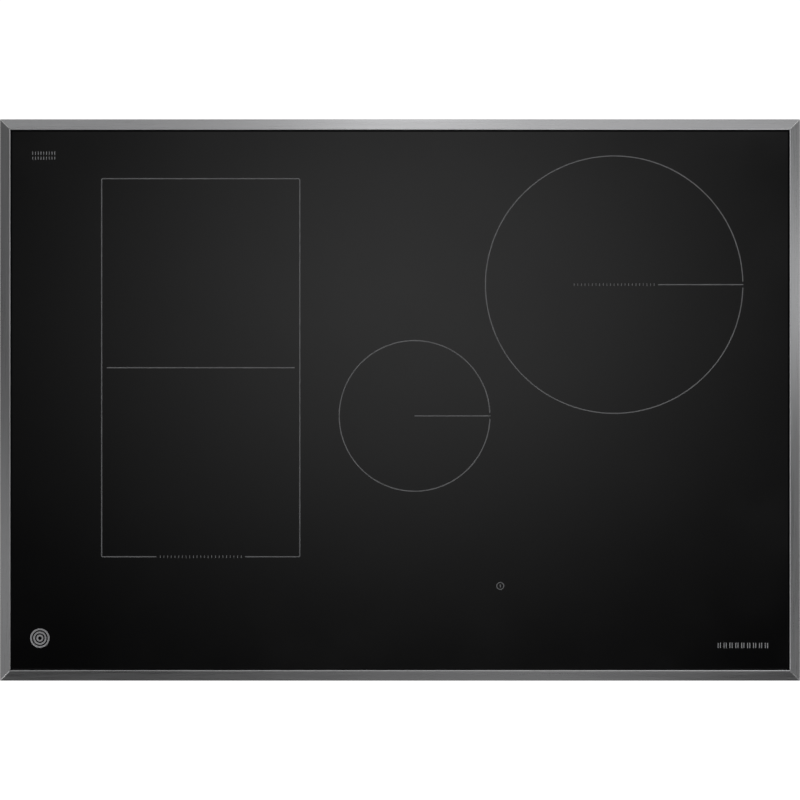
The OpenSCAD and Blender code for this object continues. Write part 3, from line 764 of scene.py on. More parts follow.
class Finish(Enum):
    """Every finish on the cooktop, by the name of its slot in the record."""

    STEEL_X = ("brushed_steel", BrushedSteel(Grain.ALONG_X))
    STEEL_Y = ("brushed_steel", BrushedSteel(Grain.ALONG_Y))
    # The seam's steel is much paler than the frame's own steel: a painted highlight along each mitre, carried
    # by a real bead shape.
    SEAM = ("brushed_steel", PlainMetal("seam_painted_highlight", (0.93, 0.93, 0.94), 0.28, (600, 600, 600), 0.01 * MM))
    GLASS = ("black_glass", BlackGlass())
    LINE_PRINT = ("print", FiredPrint("print_lines", (0.165, 0.165, 0.17)))
    NOTE_PRINT = ("print", FiredPrint("print_notes", (0.17, 0.17, 0.172)))
    MARK_PRINT = ("print", FiredPrint("print_marks", (0.42, 0.42, 0.43)))
    SILICONE = ("silicone", Moulding("silicone", (0.0015, 0.0015, 0.0018), 0.7, 1.2 * MM, gloss=0.03))
    FOAM = ("foam", Foam("foam", (0.05, 0.05, 0.055)))
    SHEET = ("galvanised_steel", GalvanisedSheet("galvanised_steel"))
    PRESSED = ("pressed_steel", PlainMetal("pressed_steel", (0.5, 0.52, 0.54), 0.36, (260, 260, 260)))
    ZINC = ("zinc_screws", PlainMetal("zinc_screws", (0.62, 0.63, 0.64), 0.24, (500, 500, 90)))
    ALUMINIUM = ("aluminium_sheet", PlainMetal("aluminium_sheet", (0.72, 0.73, 0.75), 0.38, (8, 900, 900)))
    WHITE_PLASTIC = ("white_plastic", Moulding("white_plastic", (0.76, 0.75, 0.71)))
    BLACK_PLASTIC = ("black_plastic", Moulding("black_plastic", (0.025, 0.025, 0.027), 0.42))
    WINDOW = ("black_plastic", Moulding("display_window", (0.022, 0.004, 0.004), 0.14, 0.5 * MM, 0.004 * MM))
    FAN_PLASTIC = ("fan_plastic", Moulding("fan_plastic", (0.05, 0.05, 0.055), 0.36))
    BOARD = ("circuit_board", CircuitBoard())
    CAPACITOR = ("capacitor_case", Moulding("capacitor_case", (0.66, 0.5, 0.09), 0.3, 2 * MM))
    LITZ = ("copper_wire", TwistedStrands("litz_copper", (0.72, 0.33, 0.14), 0.85, 0.36, 900.0))
    CHOKE = ("copper_wire", TwistedStrands("choke_copper", (0.62, 0.25, 0.09), 0.8, 0.32, 60.0))
    FERRITE = ("ferrite", Mineral("ferrite", (0.055, 0.055, 0.06), 0.4 * MM, 0.5, 0.25))
    MICA = ("mica", Mineral("mica", (0.6, 0.53, 0.4), 2.5 * MM, 0.45, 0.15))
    BOOT = ("sensor_boot", Moulding("sensor_boot", (0.72, 0.7, 0.64), 0.6))
    SPRING = ("spring_steel", PlainMetal("spring_steel", (0.5, 0.51, 0.53), 0.22, (300, 300, 300)))
    TERMINAL = ("terminal_plastic", Moulding("terminal_plastic", (0.74, 0.7, 0.58), 0.4))
    CAST_ZINC = ("cast_zinc", PlainMetal("cast_zinc", (0.56, 0.57, 0.58), 0.42, (420, 420, 420), 0.08 * MM))
    PAD = ("clamp_pad", Moulding("clamp_pad", (0.03, 0.03, 0.034), 0.6))
    WIRE = ("wire_cover", TwistedStrands("wire_cover", (0.6, 0.58, 0.52), 0.0, 0.55, 120.0, 9.0))

    def material(self) -> bpy.types.Material:
        """Returns the finish's material, made the first time that it is asked for."""
        if self.name not in _made:
            _made[self.name] = self.value[1].build()
        return _made[self.name]


_made: dict[str, bpy.types.Material] = {}


# ---- Pieces ----

WELD_REACH = 0.002 * MM
BEVEL_ANGLE = 32


def dress(node: str, finish: Finish, edge: float = 0.0) -> None:
    """Gives a CAD node its finish and, if asked, softly broken edges.

    Args:
        node: The node's name.
        finish: What it is made of.
        edge: How far its sharp edges are broken, or 0 to leave them.
    """
    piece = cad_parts[node]
    piece.data.materials.clear()
    piece.data.materials.append(finish.material())
    if edge:
        weld = piece.modifiers.new("weld", "WELD")
        weld.merge_threshold = WELD_REACH
        bevel = piece.modifiers.new("edge", "BEVEL")
        bevel.width, bevel.segments = edge, 2
        bevel.limit_method, bevel.angle_limit = "ANGLE", math.radians(BEVEL_ANGLE)
    LOG.info("%s: %s", node, finish.name.lower())


def stand(name: str, data: bpy.types.ID) -> bpy.types.Object:
    """Puts a new object that holds some data into the scene."""
    thing = bpy.data.objects.new(name, data)
    bpy.context.scene.collection.objects.link(thing)
    return thing


def place_piece(name: str, shells: list[Shell], finish: Finish, crease: float = 35.0,
                stands_for: tuple[str, ...] = (), body: str = "root") -> bpy.types.Object:
    """Makes a piece from surfaces, with its place in its mesh, and lets it ride on a body.

    Args:
        name: The piece's name.
        shells: Its surfaces.
        finish: What it is made of.
        crease: The angle in degrees above which an edge stays sharp.
        stands_for: The CAD nodes that it replaces.
        body: The body that it moves with.

    Returns:
        The new object.
    """
    shell = join(shells)
    mesh = bpy.data.meshes.new(name)
    corners = np.concatenate([shell.quads.ravel(), shell.tris.ravel()]).astype(np.int32)
    sizes = np.repeat([4, 3], [len(shell.quads), len(shell.tris)])
    starts = (np.cumsum(sizes) - sizes).astype(np.int32)
    mesh.vertices.add(len(shell.points))
    mesh.vertices.foreach_set("co", shell.points.astype(np.float32).ravel())
    mesh.loops.add(len(corners))
    mesh.loops.foreach_set("vertex_index", corners)
    mesh.polygons.add(len(starts))
    mesh.polygons.foreach_set("loop_start", starts)
    mesh.polygons.foreach_set("use_smooth", np.ones(len(starts), bool))
    mesh.update(calc_edges=True)
    uv = np.concatenate([shell.quad_uv.reshape(-1, 2), shell.tri_uv.reshape(-1, 2)])
    mesh.uv_layers.new(name="UVMap").data.foreach_set("uv", uv.astype(np.float32).ravel())
    mesh.validate()
    mesh.set_sharp_from_angle(angle=math.radians(crease))
    mesh.materials.append(finish.material())
    piece = stand(name, mesh)
    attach(piece, body)
    if stands_for:
        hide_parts(*stands_for)
    LOG.info("%s: %d faces on %s", name, len(starts), body)
    return piece


def dress_all(finishes: dict[str, tuple[Finish, float]]) -> None:
    """Dresses several CAD nodes, each with its finish and how far its edges are broken."""
    for node, (finish, edge) in finishes.items():
        dress(node, finish, edge)


def middle(node: str) -> Array:
    """Returns the middle of a CAD node's box."""
    low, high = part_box(node)
    return (np.array(low) + np.array(high)) / 2


def top(node: str) -> float:
    """Returns the height of a CAD node's highest point."""
    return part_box(node)[1].z


def bottom(node: str) -> float:
    """Returns the height of a CAD node's lowest point."""
    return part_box(node)[0].z


@dataclass
class Surround:
    """The mitred steel frame, with its silicone joint and the foam under it."""

    edge: float = 0.1 * MM
    bevel_from_to: tuple[float, float] = (0.6 * MM, 9.3 * MM)
    bevel_drop: float = 5.07 * MM
    lip_drop: float = 0.15 * MM
    seam_r: float = 0.55 * MM
    seam_sunk: float = 0.41 * MM
    seam_steps: int = 12

    def build(self) -> None:
        """Dresses the four strips along their length, and the seals."""
        dress_all({
            "trim_front": (Finish.STEEL_X, self.edge), "trim_rear": (Finish.STEEL_X, self.edge),
            "trim_left": (Finish.STEEL_Y, self.edge), "trim_right": (Finish.STEEL_Y, self.edge),
        })
        self.mitre_seam_highlights()
        dress_all({
            "glass_bond": (Finish.SILICONE, 0.0), "worktop_gasket": (Finish.FOAM, 0.0),
            "support_frame": (Finish.SHEET, 0.0),
        })

    def mitre_seam_highlights(self) -> None:
        """Lays a thin rounded bead up each mitre, from the frame's outer corner to its inner lip, in a far
        paler steel than the frame's, which is a painted highlight along the mitre.

        At a distance t in from both sides it is at (half width - t, half depth - t), and its height follows
        the bevel in a straight line from its foot to its head.
        """
        low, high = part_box("trim_front")[0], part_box("trim_rear")[1]
        t = np.linspace(*self.bevel_from_to, self.seam_steps)
        rise = (t - t[0]) / (t[-1] - t[0])
        z = high.z - self.bevel_drop * (1 - rise) - self.seam_sunk - self.lip_drop
        seams = []
        for right, rear in CORNERS:
            x = high.x - t if right > 0 else low.x + t
            y = high.y - t if rear > 0 else low.y + t
            seams.append(tube(np.stack([x, y, z], axis=-1), self.seam_r, self.seam_steps))
        place_piece("mitre_seam_highlights", seams, Finish.SEAM, 60.0)


@dataclass
class GlassPanel:
    """The glass-ceramic panel and the grey print fired onto it.

    The key's ring and bar, and the rings of the coil sign, are given by a reach and a line width. A row of
    ticks has a length, a count, and each tick's width and height.
    """

    line: float = 1.0 * MM
    ink: float = 0.03 * MM
    zone_w: float = 193.2 * MM
    zone_corner: float = 1.2 * MM
    zone_shift: float = 0.2 * MM
    divider_inset: float = 5.0 * MM
    note_gap: float = 86.4 * MM
    large_ring: float = 125.5 * MM
    small_ring: float = 73.45 * MM
    ring_gap: float = 3.0 * MM
    large_pointer: float = 42.7 * MM
    small_pointer: float = 0.0
    note: tuple[int, float, float] = (23, 0.65 * MM, 2.5 * MM)
    note_lengths: tuple[float, float] = (79 * MM, 78 * MM)
    key_pitch: float = 28 * MM
    key_coil: float = 4 * MM
    key_ring: tuple[float, float] = (3.4 * MM, 0.85 * MM)
    key_bar: tuple[float, float] = (1.5 * MM, 1.2 * MM)
    sign_at: tuple[float, float] = (27.5 * MM, 30 * MM)
    sign_rings: tuple[float, ...] = (2.6 * MM, 5.6 * MM, 8.6 * MM)
    sign_line: float = 1.7 * MM
    bars_at: tuple[float, float] = (44.4 * MM, 22.9 * MM)
    bars_apart: float = 1.1 * MM
    bars: tuple[float, int, float, float] = (46 * MM, 9, 0.8 * MM, 5.2 * MM)
    ticks_from_left: float = 31.3 * MM
    ticks_rows: tuple[tuple[float, float], ...] = ((21.5 * MM, 3.2 * MM), (26.4 * MM, 2.8 * MM))
    ticks: tuple[float, int, float] = (21.5 * MM, 9, 0.55 * MM)
    ring_end: float = 354

    def build(self) -> None:
        """Dresses the glass and lays the print on it."""
        dress("glass_top", Finish.GLASS)
        self.low = top("glass_top") - self.ink / 2
        self.high = top("glass_top") + self.ink
        lines = self.long_zone() + self.round_zone("large", self.large_ring, self.large_pointer)
        lines += self.round_zone("small", self.small_ring, self.small_pointer)
        flex, large = middle("winding_flex_front"), middle("winding_large")
        notes = self.tick_row(flex[0], self.zone_front, self.note_lengths[0], *self.note)
        notes += self.tick_row(large[0], large[1], self.note_lengths[1], *self.note)
        place_piece("zone_print", lines, Finish.LINE_PRINT)
        place_piece("zone_note_ticks", notes, Finish.NOTE_PRINT)
        place_piece("power_key_print", self.power_key(), Finish.LINE_PRINT)
        place_piece("corner_marks", self.corner_marks(), Finish.MARK_PRINT)

    def stroke(self, points: Array, width: float | None = None, loop: bool = False) -> Shell:
        """Returns a printed line along a path in plan."""
        return ribbon(np.asarray(points, float), width or self.line, self.low, self.high, loop)

    def long_zone(self) -> list[Shell]:
        """Draws the long zone: an outline with a gap at the front, and a line across its middle.

        The two coils under it sit in the middle of its halves, so its depth is twice their spacing.

        Returns:
            The printed lines.
        """
        front, rear = middle("winding_flex_front"), middle("winding_flex_rear")
        x, y = front[0], (front[1] + rear[1]) / 2 + self.zone_shift
        half_w, half_d, r = self.zone_w / 2, rear[1] - front[1] - self.zone_shift, self.zone_corner
        self.zone_front = y - half_d
        corners = [(1, -1, -90), (1, 1, 0), (-1, 1, 90), (-1, -1, 180)]
        bends = []
        for right, rear, start in corners:
            centre = (x + right * (half_w - r), y + rear * (half_d - r))
            bends.append(arc(centre, r, start, start + 90, 7))
        gap = self.note_gap / 2
        outline = np.concatenate([[(x + gap, y - half_d)], *bends, [(x - gap, y - half_d)]])
        reach = half_w - self.divider_inset
        return [self.stroke(outline), self.stroke([(x - reach, y), (x + reach, y)])]

    def round_zone(self, coil: str, radius: float, pointer: float) -> list[Shell]:
        """Draws a round zone: a circle with a small gap on its right, and a line that points at the gap.

        Args:
            coil: Which coil it lies over.
            radius: The circle's radius.
            pointer: How far from the centre the line starts.

        Returns:
            The printed lines.
        """
        centre = middle(f"winding_{coil}")[:2]
        gap = math.degrees(self.ring_gap / radius)
        ring = arc(centre, radius, gap, 360 - gap, 241)
        return [self.stroke(ring), self.stroke([centre + (pointer, 0), centre + (radius + self.line / 2, 0)])]

    def tick_row(self, x: float, y: float, length: float, count: int, width: float,
                 height: float) -> list[Shell]:
        """Returns a row of equal upright ticks, where a note stands on such a panel."""
        places = x + (np.arange(count) / (count - 1) - 0.5) * length
        return [self.stroke([(a, y - height / 2), (a, y + height / 2)], width) for a in places]

    def power_key(self) -> list[Shell]:
        """Draws the power key: a ring with a short bar in its middle, over the key's own spring."""
        low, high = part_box("touch_springs")
        centre = np.array([high.x - self.key_coil - 3 * self.key_pitch, (low.y + high.y) / 2])
        (ring_r, ring_line), (half, bar_line) = self.key_ring, self.key_bar
        ring = arc(centre, ring_r, 0, self.ring_end, 60)
        bar = [centre + (0, -half), centre + (0, half)]
        return [self.stroke(ring, ring_line, loop=True), self.stroke(bar, bar_line)]

    def corner_marks(self) -> list[Shell]:
        """Draws plain marks near the corners: a coil sign, a row of paired bars, and two rows of ticks."""
        low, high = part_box("glass_top")
        sign = np.array(self.sign_at) + low[:2]
        marks = []
        for r in self.sign_rings:
            marks.append(self.stroke(arc(sign, r, 0, self.ring_end, 60), self.sign_line, loop=True))
        for side in (-1, 1):
            x = high.x - self.bars_at[0] + side * self.bars_apart
            marks += self.tick_row(x, low.y + self.bars_at[1], *self.bars)
        for drop, height in self.ticks_rows:
            marks += self.tick_row(low.x + self.ticks_from_left, high.y - drop, *self.ticks, height)
        return marks


@dataclass
class MachineScrew:
    """A pan-head screw with a cross recess and a real thread, along +Z with its head below zero.

    The rim's drop, and the slot's half width and its reach, are shares of the head's height and radius.
    """

    shank: float = 2.0 * MM
    head: float = 4.0 * MM
    head_h: float = 2.6 * MM
    pitch: float = 0.7 * MM
    thread: float = 0.42 * MM
    sides: int = 18
    recess: float = 1.5 * MM
    rim_drop: float = 0.42
    slot_half: float = 0.14
    slot_reach: float = 0.66

    def build(self, length: float) -> Shell:
        """Makes the screw.

        The head is a grid of rings by spokes. Its height falls off towards the rim as a fourth power, and a
        cross is sunk into it where either |x| or |y| is under the slot's half width, both eased at the edge.
        The shank's radius at height z and angle a is R - depth * |2 frac(z / pitch - a / 360) - 1|, which is
        a V-shaped thread, and it shrinks to a point over the last turn.

        Args:
            length: How far the shank reaches past the head's underside.

        Returns:
            The closed screw.
        """
        spoke = evenly(2 * self.sides)
        share = np.linspace(0.06, 1, 9)[:, None]
        x, y = share * self.head * np.cos(spoke), share * self.head * np.sin(spoke)
        dome = -self.head_h * (1 - self.rim_drop * share**4) + 0 * x
        slot = np.minimum(np.abs(x), np.abs(y)) / (self.slot_half * self.head)
        deep = np.clip(1.6 - slot, 0, 1) * np.clip((self.slot_reach - share) * 6, 0, 1)
        face = np.stack([x, y, dome + self.recess * deep], axis=-1)
        rim = np.stack([x[-1], y[-1], np.zeros(len(spoke))], axis=-1)
        neck = rim * (self.shank / self.head)
        head = lattice(np.concatenate([face, rim[None], neck[None]]), wrap_v=True, caps=True)
        z = np.linspace(-0.1 * MM, length, max(8, int(length / self.pitch * 5)))[:, None]
        a = evenly(self.sides)
        tooth = np.abs(2 * np.mod(z / self.pitch - a / TAU, 1) - 1)
        radius = (self.shank - self.thread * tooth) * np.clip((length - z) / self.pitch + 0.55, 0, 1)
        shank = np.stack([radius * np.cos(a), radius * np.sin(a), z + 0 * a], axis=-1)
        return join([head, lattice(shank, wrap_v=True, caps=True)])


def facing(axis: str, sign: int) -> Array:
    """Returns the turn that takes +Z to a named axis, or against it, keeping right-handedness."""
    goal = {"x": (1, 0, 0), "y": (0, 1, 0), "z": (0, 0, 1)}[axis]
    ahead = sign * np.array(goal, float)
    side = np.array([0.0, 0.0, 1.0]) if axis != "z" else np.array([1.0, 0.0, 0.0])
    return np.column_stack([np.cross(side, ahead), side, ahead])


@dataclass
class BurnerBox:
    """The steel box, its guards, pocket and screws."""

    wall_screws_x: tuple[float, ...] = (-250 * MM, 0.0, 250 * MM)
    wall_screws_y: tuple[float, ...] = (-150 * MM, 150 * MM)
    screw_drop: float = 8.3 * MM
    bracket_screw_y: float = 18 * MM
    bracket_screw_z: float = 48 * MM
    cover_screw_in: float = 3 * MM
    bracket_skin: float = 2 * MM
    wall_screw: float = 8 * MM
    bracket_screw: float = 7 * MM
    cover_screw: float = 6 * MM
    deck_screw: float = 10 * MM
    rim: float = 7 * MM
    weld_r: float = 2.6 * MM
    weld_h: float = 0.25 * MM
    weld_z: float = 16 * MM
    weld_sunk: float = 1 * MM
    weld_from_ends: float = 10 * MM
    welds: int = 4

    def build(self) -> None:
        """Dresses the sheet metal and puts in the screws and weld marks."""
        dress_all({
            "burner_box": (Finish.SHEET, 0.0), "conduit_pocket": (Finish.SHEET, 0.0),
            "vent_grilles": (Finish.PRESSED, 0.0),
        })
        _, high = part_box("burner_box")
        self.half_w, self.half_d = high.x - self.rim, high.y - self.rim
        self.screws()
        self.weld_marks()

    def screws(self) -> None:
        """Puts a threaded screw wherever the CAD has a plain one."""
        z = top("burner_box") - self.screw_drop
        places = []
        for sign in (-1, 1):
            for x in self.wall_screws_x:
                places.append((self.wall_screw, facing("y", -sign), (x, sign * self.half_d, z)))
            for y in self.wall_screws_y:
                places.append((self.wall_screw, facing("x", -sign), (sign * self.half_w, y, z)))
            for y in (-self.bracket_screw_y, self.bracket_screw_y):
                at = (sign * (self.half_w + self.bracket_skin), y, self.bracket_screw_z)
                places.append((self.bracket_screw, facing("x", -sign), at))
        low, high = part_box("terminal_cover")
        for y in (low.y + self.cover_screw_in, high.y - self.cover_screw_in):
            places.append((self.cover_screw, np.eye(3), ((low.x + high.x) / 2, y, low.z)))
        deck_top = bottom("springs_large")
        for x, y in DECK_POSTS:
            places.append((self.deck_screw, facing("z", -1), (x * MM, y * MM, deck_top)))
        made = [MachineScrew().build(length).turned(turn).moved(at) for length, turn, at in places]
        place_piece("machine_screws", made, Finish.ZINC, 40.0, ("m4_screws",))

    def weld_marks(self) -> None:
        """Presses shallow spot-weld rings along the pocket's two flanks.

        Each is turned from a low wave-shaped profile.
        """
        r, z = self.weld_r, self.weld_h
        profile = [
            (r * 0.35, 0), (r * 0.55, -z * 0.7), (r * 0.75, -z), (r * 0.92, -z * 0.6), (r, 0), (r * 0.7, z),
        ]
        mark = turned_shape(profile, 20, loop=True)
        low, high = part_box("conduit_pocket")
        marks = []
        for y in np.linspace(low.y + self.weld_from_ends, high.y - self.weld_from_ends, self.welds):
            for x, way in ((low.x + self.weld_sunk, 1), (high.x - self.weld_sunk, -1)):
                marks.append(mark.turned(facing("x", -way)).moved((x, y, self.weld_z)))
        place_piece("weld_marks", marks, Finish.SHEET)


DECK_POSTS = (
    (-335, -222), (335, -222), (-335, 222), (335, 222), (0, -228), (-20, 222),
    (-175, 120), (175, 120), (-165, -205), (165, -205),
)


@dataclass
class InductionCoil:
    """One coil: a flat spiral of stranded wire on ferrite bars, over springs."""

    zone: str
    inner: tuple[float, float]
    square_inner: float
    square_outer: float
    springs: tuple[tuple[float, float], ...]
    wire: float = 1.85 * MM
    pitch: float = 3.8 * MM
    spring_r: float = 4.3 * MM
    spring_wire: float = 0.7 * MM
    spring_turns: float = 7.0
    give: float = 3 * MM
    step: float = 3.6 * MM

    def build(self) -> None:
        """Winds the coil, sets its springs, and dresses the rest of it."""
        zone = self.zone
        place_piece(
            f"litz_winding_{zone}", [self.winding()], Finish.LITZ, 80.0, (f"winding_{zone}",), f"coil_{zone}"
        )
        self.set_springs()
        dress_all({
            f"coil_base_{zone}": (Finish.ALUMINIUM, 0.2 * MM),
            f"ferrites_{zone}": (Finish.FERRITE, 0.35 * MM),
            f"mica_{zone}": (Finish.MICA, 0.0), f"sensor_{zone}": (Finish.BOOT, 0.3 * MM),
        })

    def winding(self) -> Shell:
        """Winds a flat spiral whose turns change from one squareness to another.

        At angle a the centre line is (A sgn(cos a) |cos a|^(2/n), B sgn(sin a) |sin a|^(2/n)), where A and B
        grow by one pitch a turn and n runs from the inner squareness to the outer. n = 2 is a circle.

        Returns:
            The closed wire.
        """
        low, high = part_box(f"winding_{self.zone}")
        centre = middle(f"winding_{self.zone}")
        outer = np.array([high.x - low.x, high.y - low.y]) / 2 - self.wire
        first = np.array(self.inner) + self.wire
        turns = float((outer[0] - first[0]) / self.pitch)
        mean = float(np.mean(outer + first)) / 2
        steps = int(turns * TAU * mean / self.step)
        hole = (first[0] / outer[0]) ** 2
        t = np.sqrt(np.linspace(0, 1, steps) * (1 - hole) + hole)
        t = (t - t[0]) / (t[-1] - t[0])
        angle = t * turns * TAU
        power = 2 / (self.square_inner + (self.square_outer - self.square_inner) * t)
        reach = first + (outer - first) * t[:, None]
        x = reach[:, 0] * np.sign(np.cos(angle)) * np.abs(np.cos(angle)) ** power
        y = reach[:, 1] * np.sign(np.sin(angle)) * np.abs(np.sin(angle)) ** power
        path = np.stack([x, y, np.zeros(steps)], axis=-1) + centre
        return tube(path, self.wire, 10)

    def set_springs(self) -> None:
        """Sets a helical spring on each peg of the deck, in a mesh of its own."""
        low, high = bottom(f"springs_{self.zone}"), top(f"springs_{self.zone}")
        spring = coil_spring(self.spring_r, self.spring_wire, low, high, self.spring_turns)
        centre = middle(f"winding_{self.zone}")
        made = [spring.moved((centre[0] + x * MM, centre[1] + y * MM, 0)) for x, y in self.springs]
        piece = place_piece(
            f"coil_springs_{self.zone}", made, Finish.SPRING, 80.0, (f"springs_{self.zone}",)
        )
        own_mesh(piece)


def ring_of(count: int, radius: float) -> tuple[tuple[float, float], ...]:
    """Returns points spaced evenly round a circle, in millimetres."""
    return tuple((radius * math.cos(a), radius * math.sin(a)) for a in evenly(count))


@dataclass
class CoilDeck:
    """The aluminium sheet under the coils, its posts, and the four coils on it."""

    def build(self) -> None:
        """Dresses the deck and makes each coil."""
        dress("coil_deck", Finish.ALUMINIUM, 0.2 * MM)
        dress("deck_posts", Finish.PRESSED, 0.2 * MM)
        for zone in ("flex_front", "flex_rear"):
            InductionCoil(zone, (26 * MM, 21 * MM), 2.7, 4.6, ring_of(4, 72)).build()
        InductionCoil("large", (28 * MM, 28 * MM), 2.0, 2.0, ring_of(4, 95)).build()
        InductionCoil("small", (20 * MM, 20 * MM), 2.0, 2.0, ring_of(3, 56)).build()


@dataclass
class Fan:
    """One cooling fan: a wheel of curved blades in a square housing."""

    side: str
    blades: int = 24
    outer: float = 45.6 * MM
    inner: float = 36.5 * MM
    cup: float = 21 * MM
    cup_inner: float = 18 * MM
    shaft: float = 1.5 * MM
    wheel_h: float = 23 * MM
    blade: float = 0.55 * MM
    lead: float = 16
    thinning: float = 0.45
    root_in: float = 0.3 * MM
    blade_ends: float = 1 * MM
    round_steps: int = 72

    def build(self) -> None:
        """Makes the wheel with its hub, rings and blades."""
        centre = middle(f"fan_rotor_{self.side}")
        low = bottom(f"fan_rotor_{self.side}")
        hand = -1 if self.side == "left" else 1
        h = self.wheel_h
        edge, web = 0.6 * MM, 2 * MM
        cup = turned_shape([
            (self.shaft * 0.9, 0), (self.cup - web, 0), (self.cup - edge, 0.5 * MM), (self.cup, web),
            (self.cup, h - web), (self.outer, h - web), (self.outer, h), (self.cup_inner, h),
            (self.cup_inner, web), (self.shaft * 0.9, web),
        ], self.round_steps, loop=True)
        ring = turned_shape([
            (self.inner, 0), (self.outer - edge, 0), (self.outer, edge), (self.outer, web), (self.inner, web),
        ], self.round_steps, loop=True)
        shaft = turned_shape([
            (self.shaft * 0.7, 0), (self.shaft, 0.4 * MM), (self.shaft, h + 2.6 * MM),
            (self.shaft * 0.7, h + 3 * MM),
        ], 20)
        place = (centre[0], centre[1], low)
        wheel = join([cup, ring, *self.vanes(hand)]).moved(place)
        side, body = self.side, f"fan_{self.side}"
        place_piece(f"fan_wheel_{side}", [wheel], Finish.FAN_PLASTIC, 35.0, (f"fan_rotor_{side}",), body)
        place_piece(f"fan_shaft_{side}", [shaft.moved(place)], Finish.SPRING, body=body)

    def vanes(self, hand: int) -> list[Shell]:
        """Bends each blade forward along an arc between the two rings.

        Along the blade, t from 0 to 1, the radius is inner + t (outer - inner) and the angle leads by
        lead t^2 degrees. Its thickness is swept to both sides and thins towards the tips.

        Args:
            hand: 1 or -1, the way that the wheel is handed.

        Returns:
            Every blade as a closed surface.
        """
        t = np.linspace(0, 1, 6)
        radius = self.inner + self.root_in + t * (self.outer - self.inner - 2 * self.root_in)
        lead = hand * np.radians(self.lead) * t**2
        spine = np.stack([radius * np.cos(lead), radius * np.sin(lead)], axis=-1)
        ahead = unit(np.gradient(spine, axis=0))
        thick = self.blade * (1 - self.thinning * t)[:, None]
        off = np.stack([-ahead[:, 1], ahead[:, 0]], axis=-1) * thick
        outline = np.concatenate([spine + off, (spine - off)[::-1]])
        heights = (self.blade_ends, self.wheel_h - self.blade_ends)
        rows = np.stack([np.column_stack([outline, np.full(len(outline), z)]) for z in heights])
        blade = lattice(rows, wrap_v=True, caps=True)
        made = []
        for a in evenly(self.blades):
            turn = [[math.cos(a), -math.sin(a), 0], [math.sin(a), math.cos(a), 0], [0, 0, 1]]
            made.append(blade.turned(turn))
        return made


@dataclass
class Electronics:
    """The boards on their tray, and what stands on them.

    The sizes of the small blocks on the boards are in whole millimetres: where they are and how wide.
    """

    choke_r: float = 12 * MM
    choke_tube: float = 5.6 * MM
    choke_core: float = 4.7 * MM
    choke_wire: float = 0.75 * MM
    choke_turns: int = 26
    choke_gap: float = 30
    choke_reach: float = 18.5 * MM
    filter_chokes: tuple[tuple[float, float], ...] = ((-115 * MM, 25 * MM), (-75 * MM, 25 * MM))
    chip_rows: tuple[int, ...] = tuple(range(-112, 15, 15))
    chip_columns: tuple[tuple[float, float], ...] = ((302, 9), (316, 6), (326, 4))
    socket_x: float = 198
    relays: tuple[float, ...] = (70, 95, 120)
    small_chips: tuple[float, ...] = tuple(range(-140, 120, 26))

    def build(self) -> None:
        """Dresses the CAD pieces and adds small parts to the boards."""
        dress_all({
            "electronics_tray": (Finish.WHITE_PLASTIC, 0.25 * MM), "inverter_boards": (Finish.BOARD, 0.0),
            "filter_board": (Finish.BOARD, 0.0), "heat_sinks": (Finish.ALUMINIUM, 0.15 * MM),
            "power_transistors": (Finish.BLACK_PLASTIC, 0.4 * MM), "capacitors": (Finish.CAPACITOR, 1.2 * MM),
            "fan_housings": (Finish.BLACK_PLASTIC, 0.4 * MM),
        })
        self.wind_chokes()
        self.small_parts()

    def wind_chokes(self) -> None:
        """Winds each ring choke: a wire that goes round the ring's tube many times on its way round the ring.

        With ring radius R and tube radius r, the wire is at ((R + r cos b) cos a, (R + r cos b) sin a,
        r sin b), where b grows by a whole number of turns while a goes over most of a circle.
        """
        big, small, turns = self.choke_r, self.choke_tube, self.choke_turns
        a = np.linspace(math.radians(self.choke_gap / 2), math.radians(360 - self.choke_gap / 2), turns * 18)
        b = (a - a[0]) * turns * 360 / (360 - self.choke_gap)
        reach = big + small * np.cos(b)
        path = np.stack([reach * np.cos(a), reach * np.sin(a), small * np.sin(b)], axis=-1)
        out = np.stack([np.cos(b) * np.cos(a), np.cos(b) * np.sin(a), np.sin(b)], axis=-1)
        side = np.cross(unit(np.gradient(path, axis=0)), out)
        winding = swept(path, self.choke_wire, 6, side, out)
        turn = evenly(16)
        section = np.stack([big + self.choke_core * np.cos(turn), self.choke_core * np.sin(turn)], axis=-1)
        core = turned_shape(section, 48, True)
        z = bottom("chokes") + small + self.choke_wire
        low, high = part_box("chokes")
        rear = high.y - self.choke_reach
        at = [(low.x + self.choke_reach, rear), (high.x - self.choke_reach, rear), *self.filter_chokes]
        wound, cores = ([shell.moved((x, y, z)) for x, y in at] for shell in (winding, core))
        place_piece("choke_windings", wound, Finish.CHOKE, 80.0, ("chokes",))
        place_piece("choke_cores", cores, Finish.FERRITE)

    def small_parts(self) -> None:
        """Sets rows of chips, connectors and relays in the free strips of each board."""
        z = top("inverter_boards")
        chips, sockets = [], []
        for sign in (-1, 1):
            for y in self.chip_rows:
                for x, width in self.chip_columns:
                    left = sign * x - width / 2
                    chips.append(block((left, left + width), (y, y + 7), z, 1.8, 0.4))
            sockets.append(block((sign * self.socket_x - 6, sign * self.socket_x + 6), (4, 18), z, 9, 0.8))
        sockets += [block((x, x + 18), (15, 44), z, 16, 1.0) for x in self.relays]
        chips += [block((x, x + 8), (-56, -50), z, 1.6, 0.4) for x in self.small_chips]
        place_piece("board_chips", chips, Finish.BLACK_PLASTIC)
        place_piece("board_sockets", sockets, Finish.WHITE_PLASTIC)


def block(x: tuple[float, float], y: tuple[float, float], z: float, height: float, round_off: float) -> Shell:
    """Returns a rounded block that stands at z. Its other sizes are in millimetres."""
    return slab((x[0] * MM, y[0] * MM, z), (x[1] * MM, y[1] * MM, z + height * MM), round_off * MM)


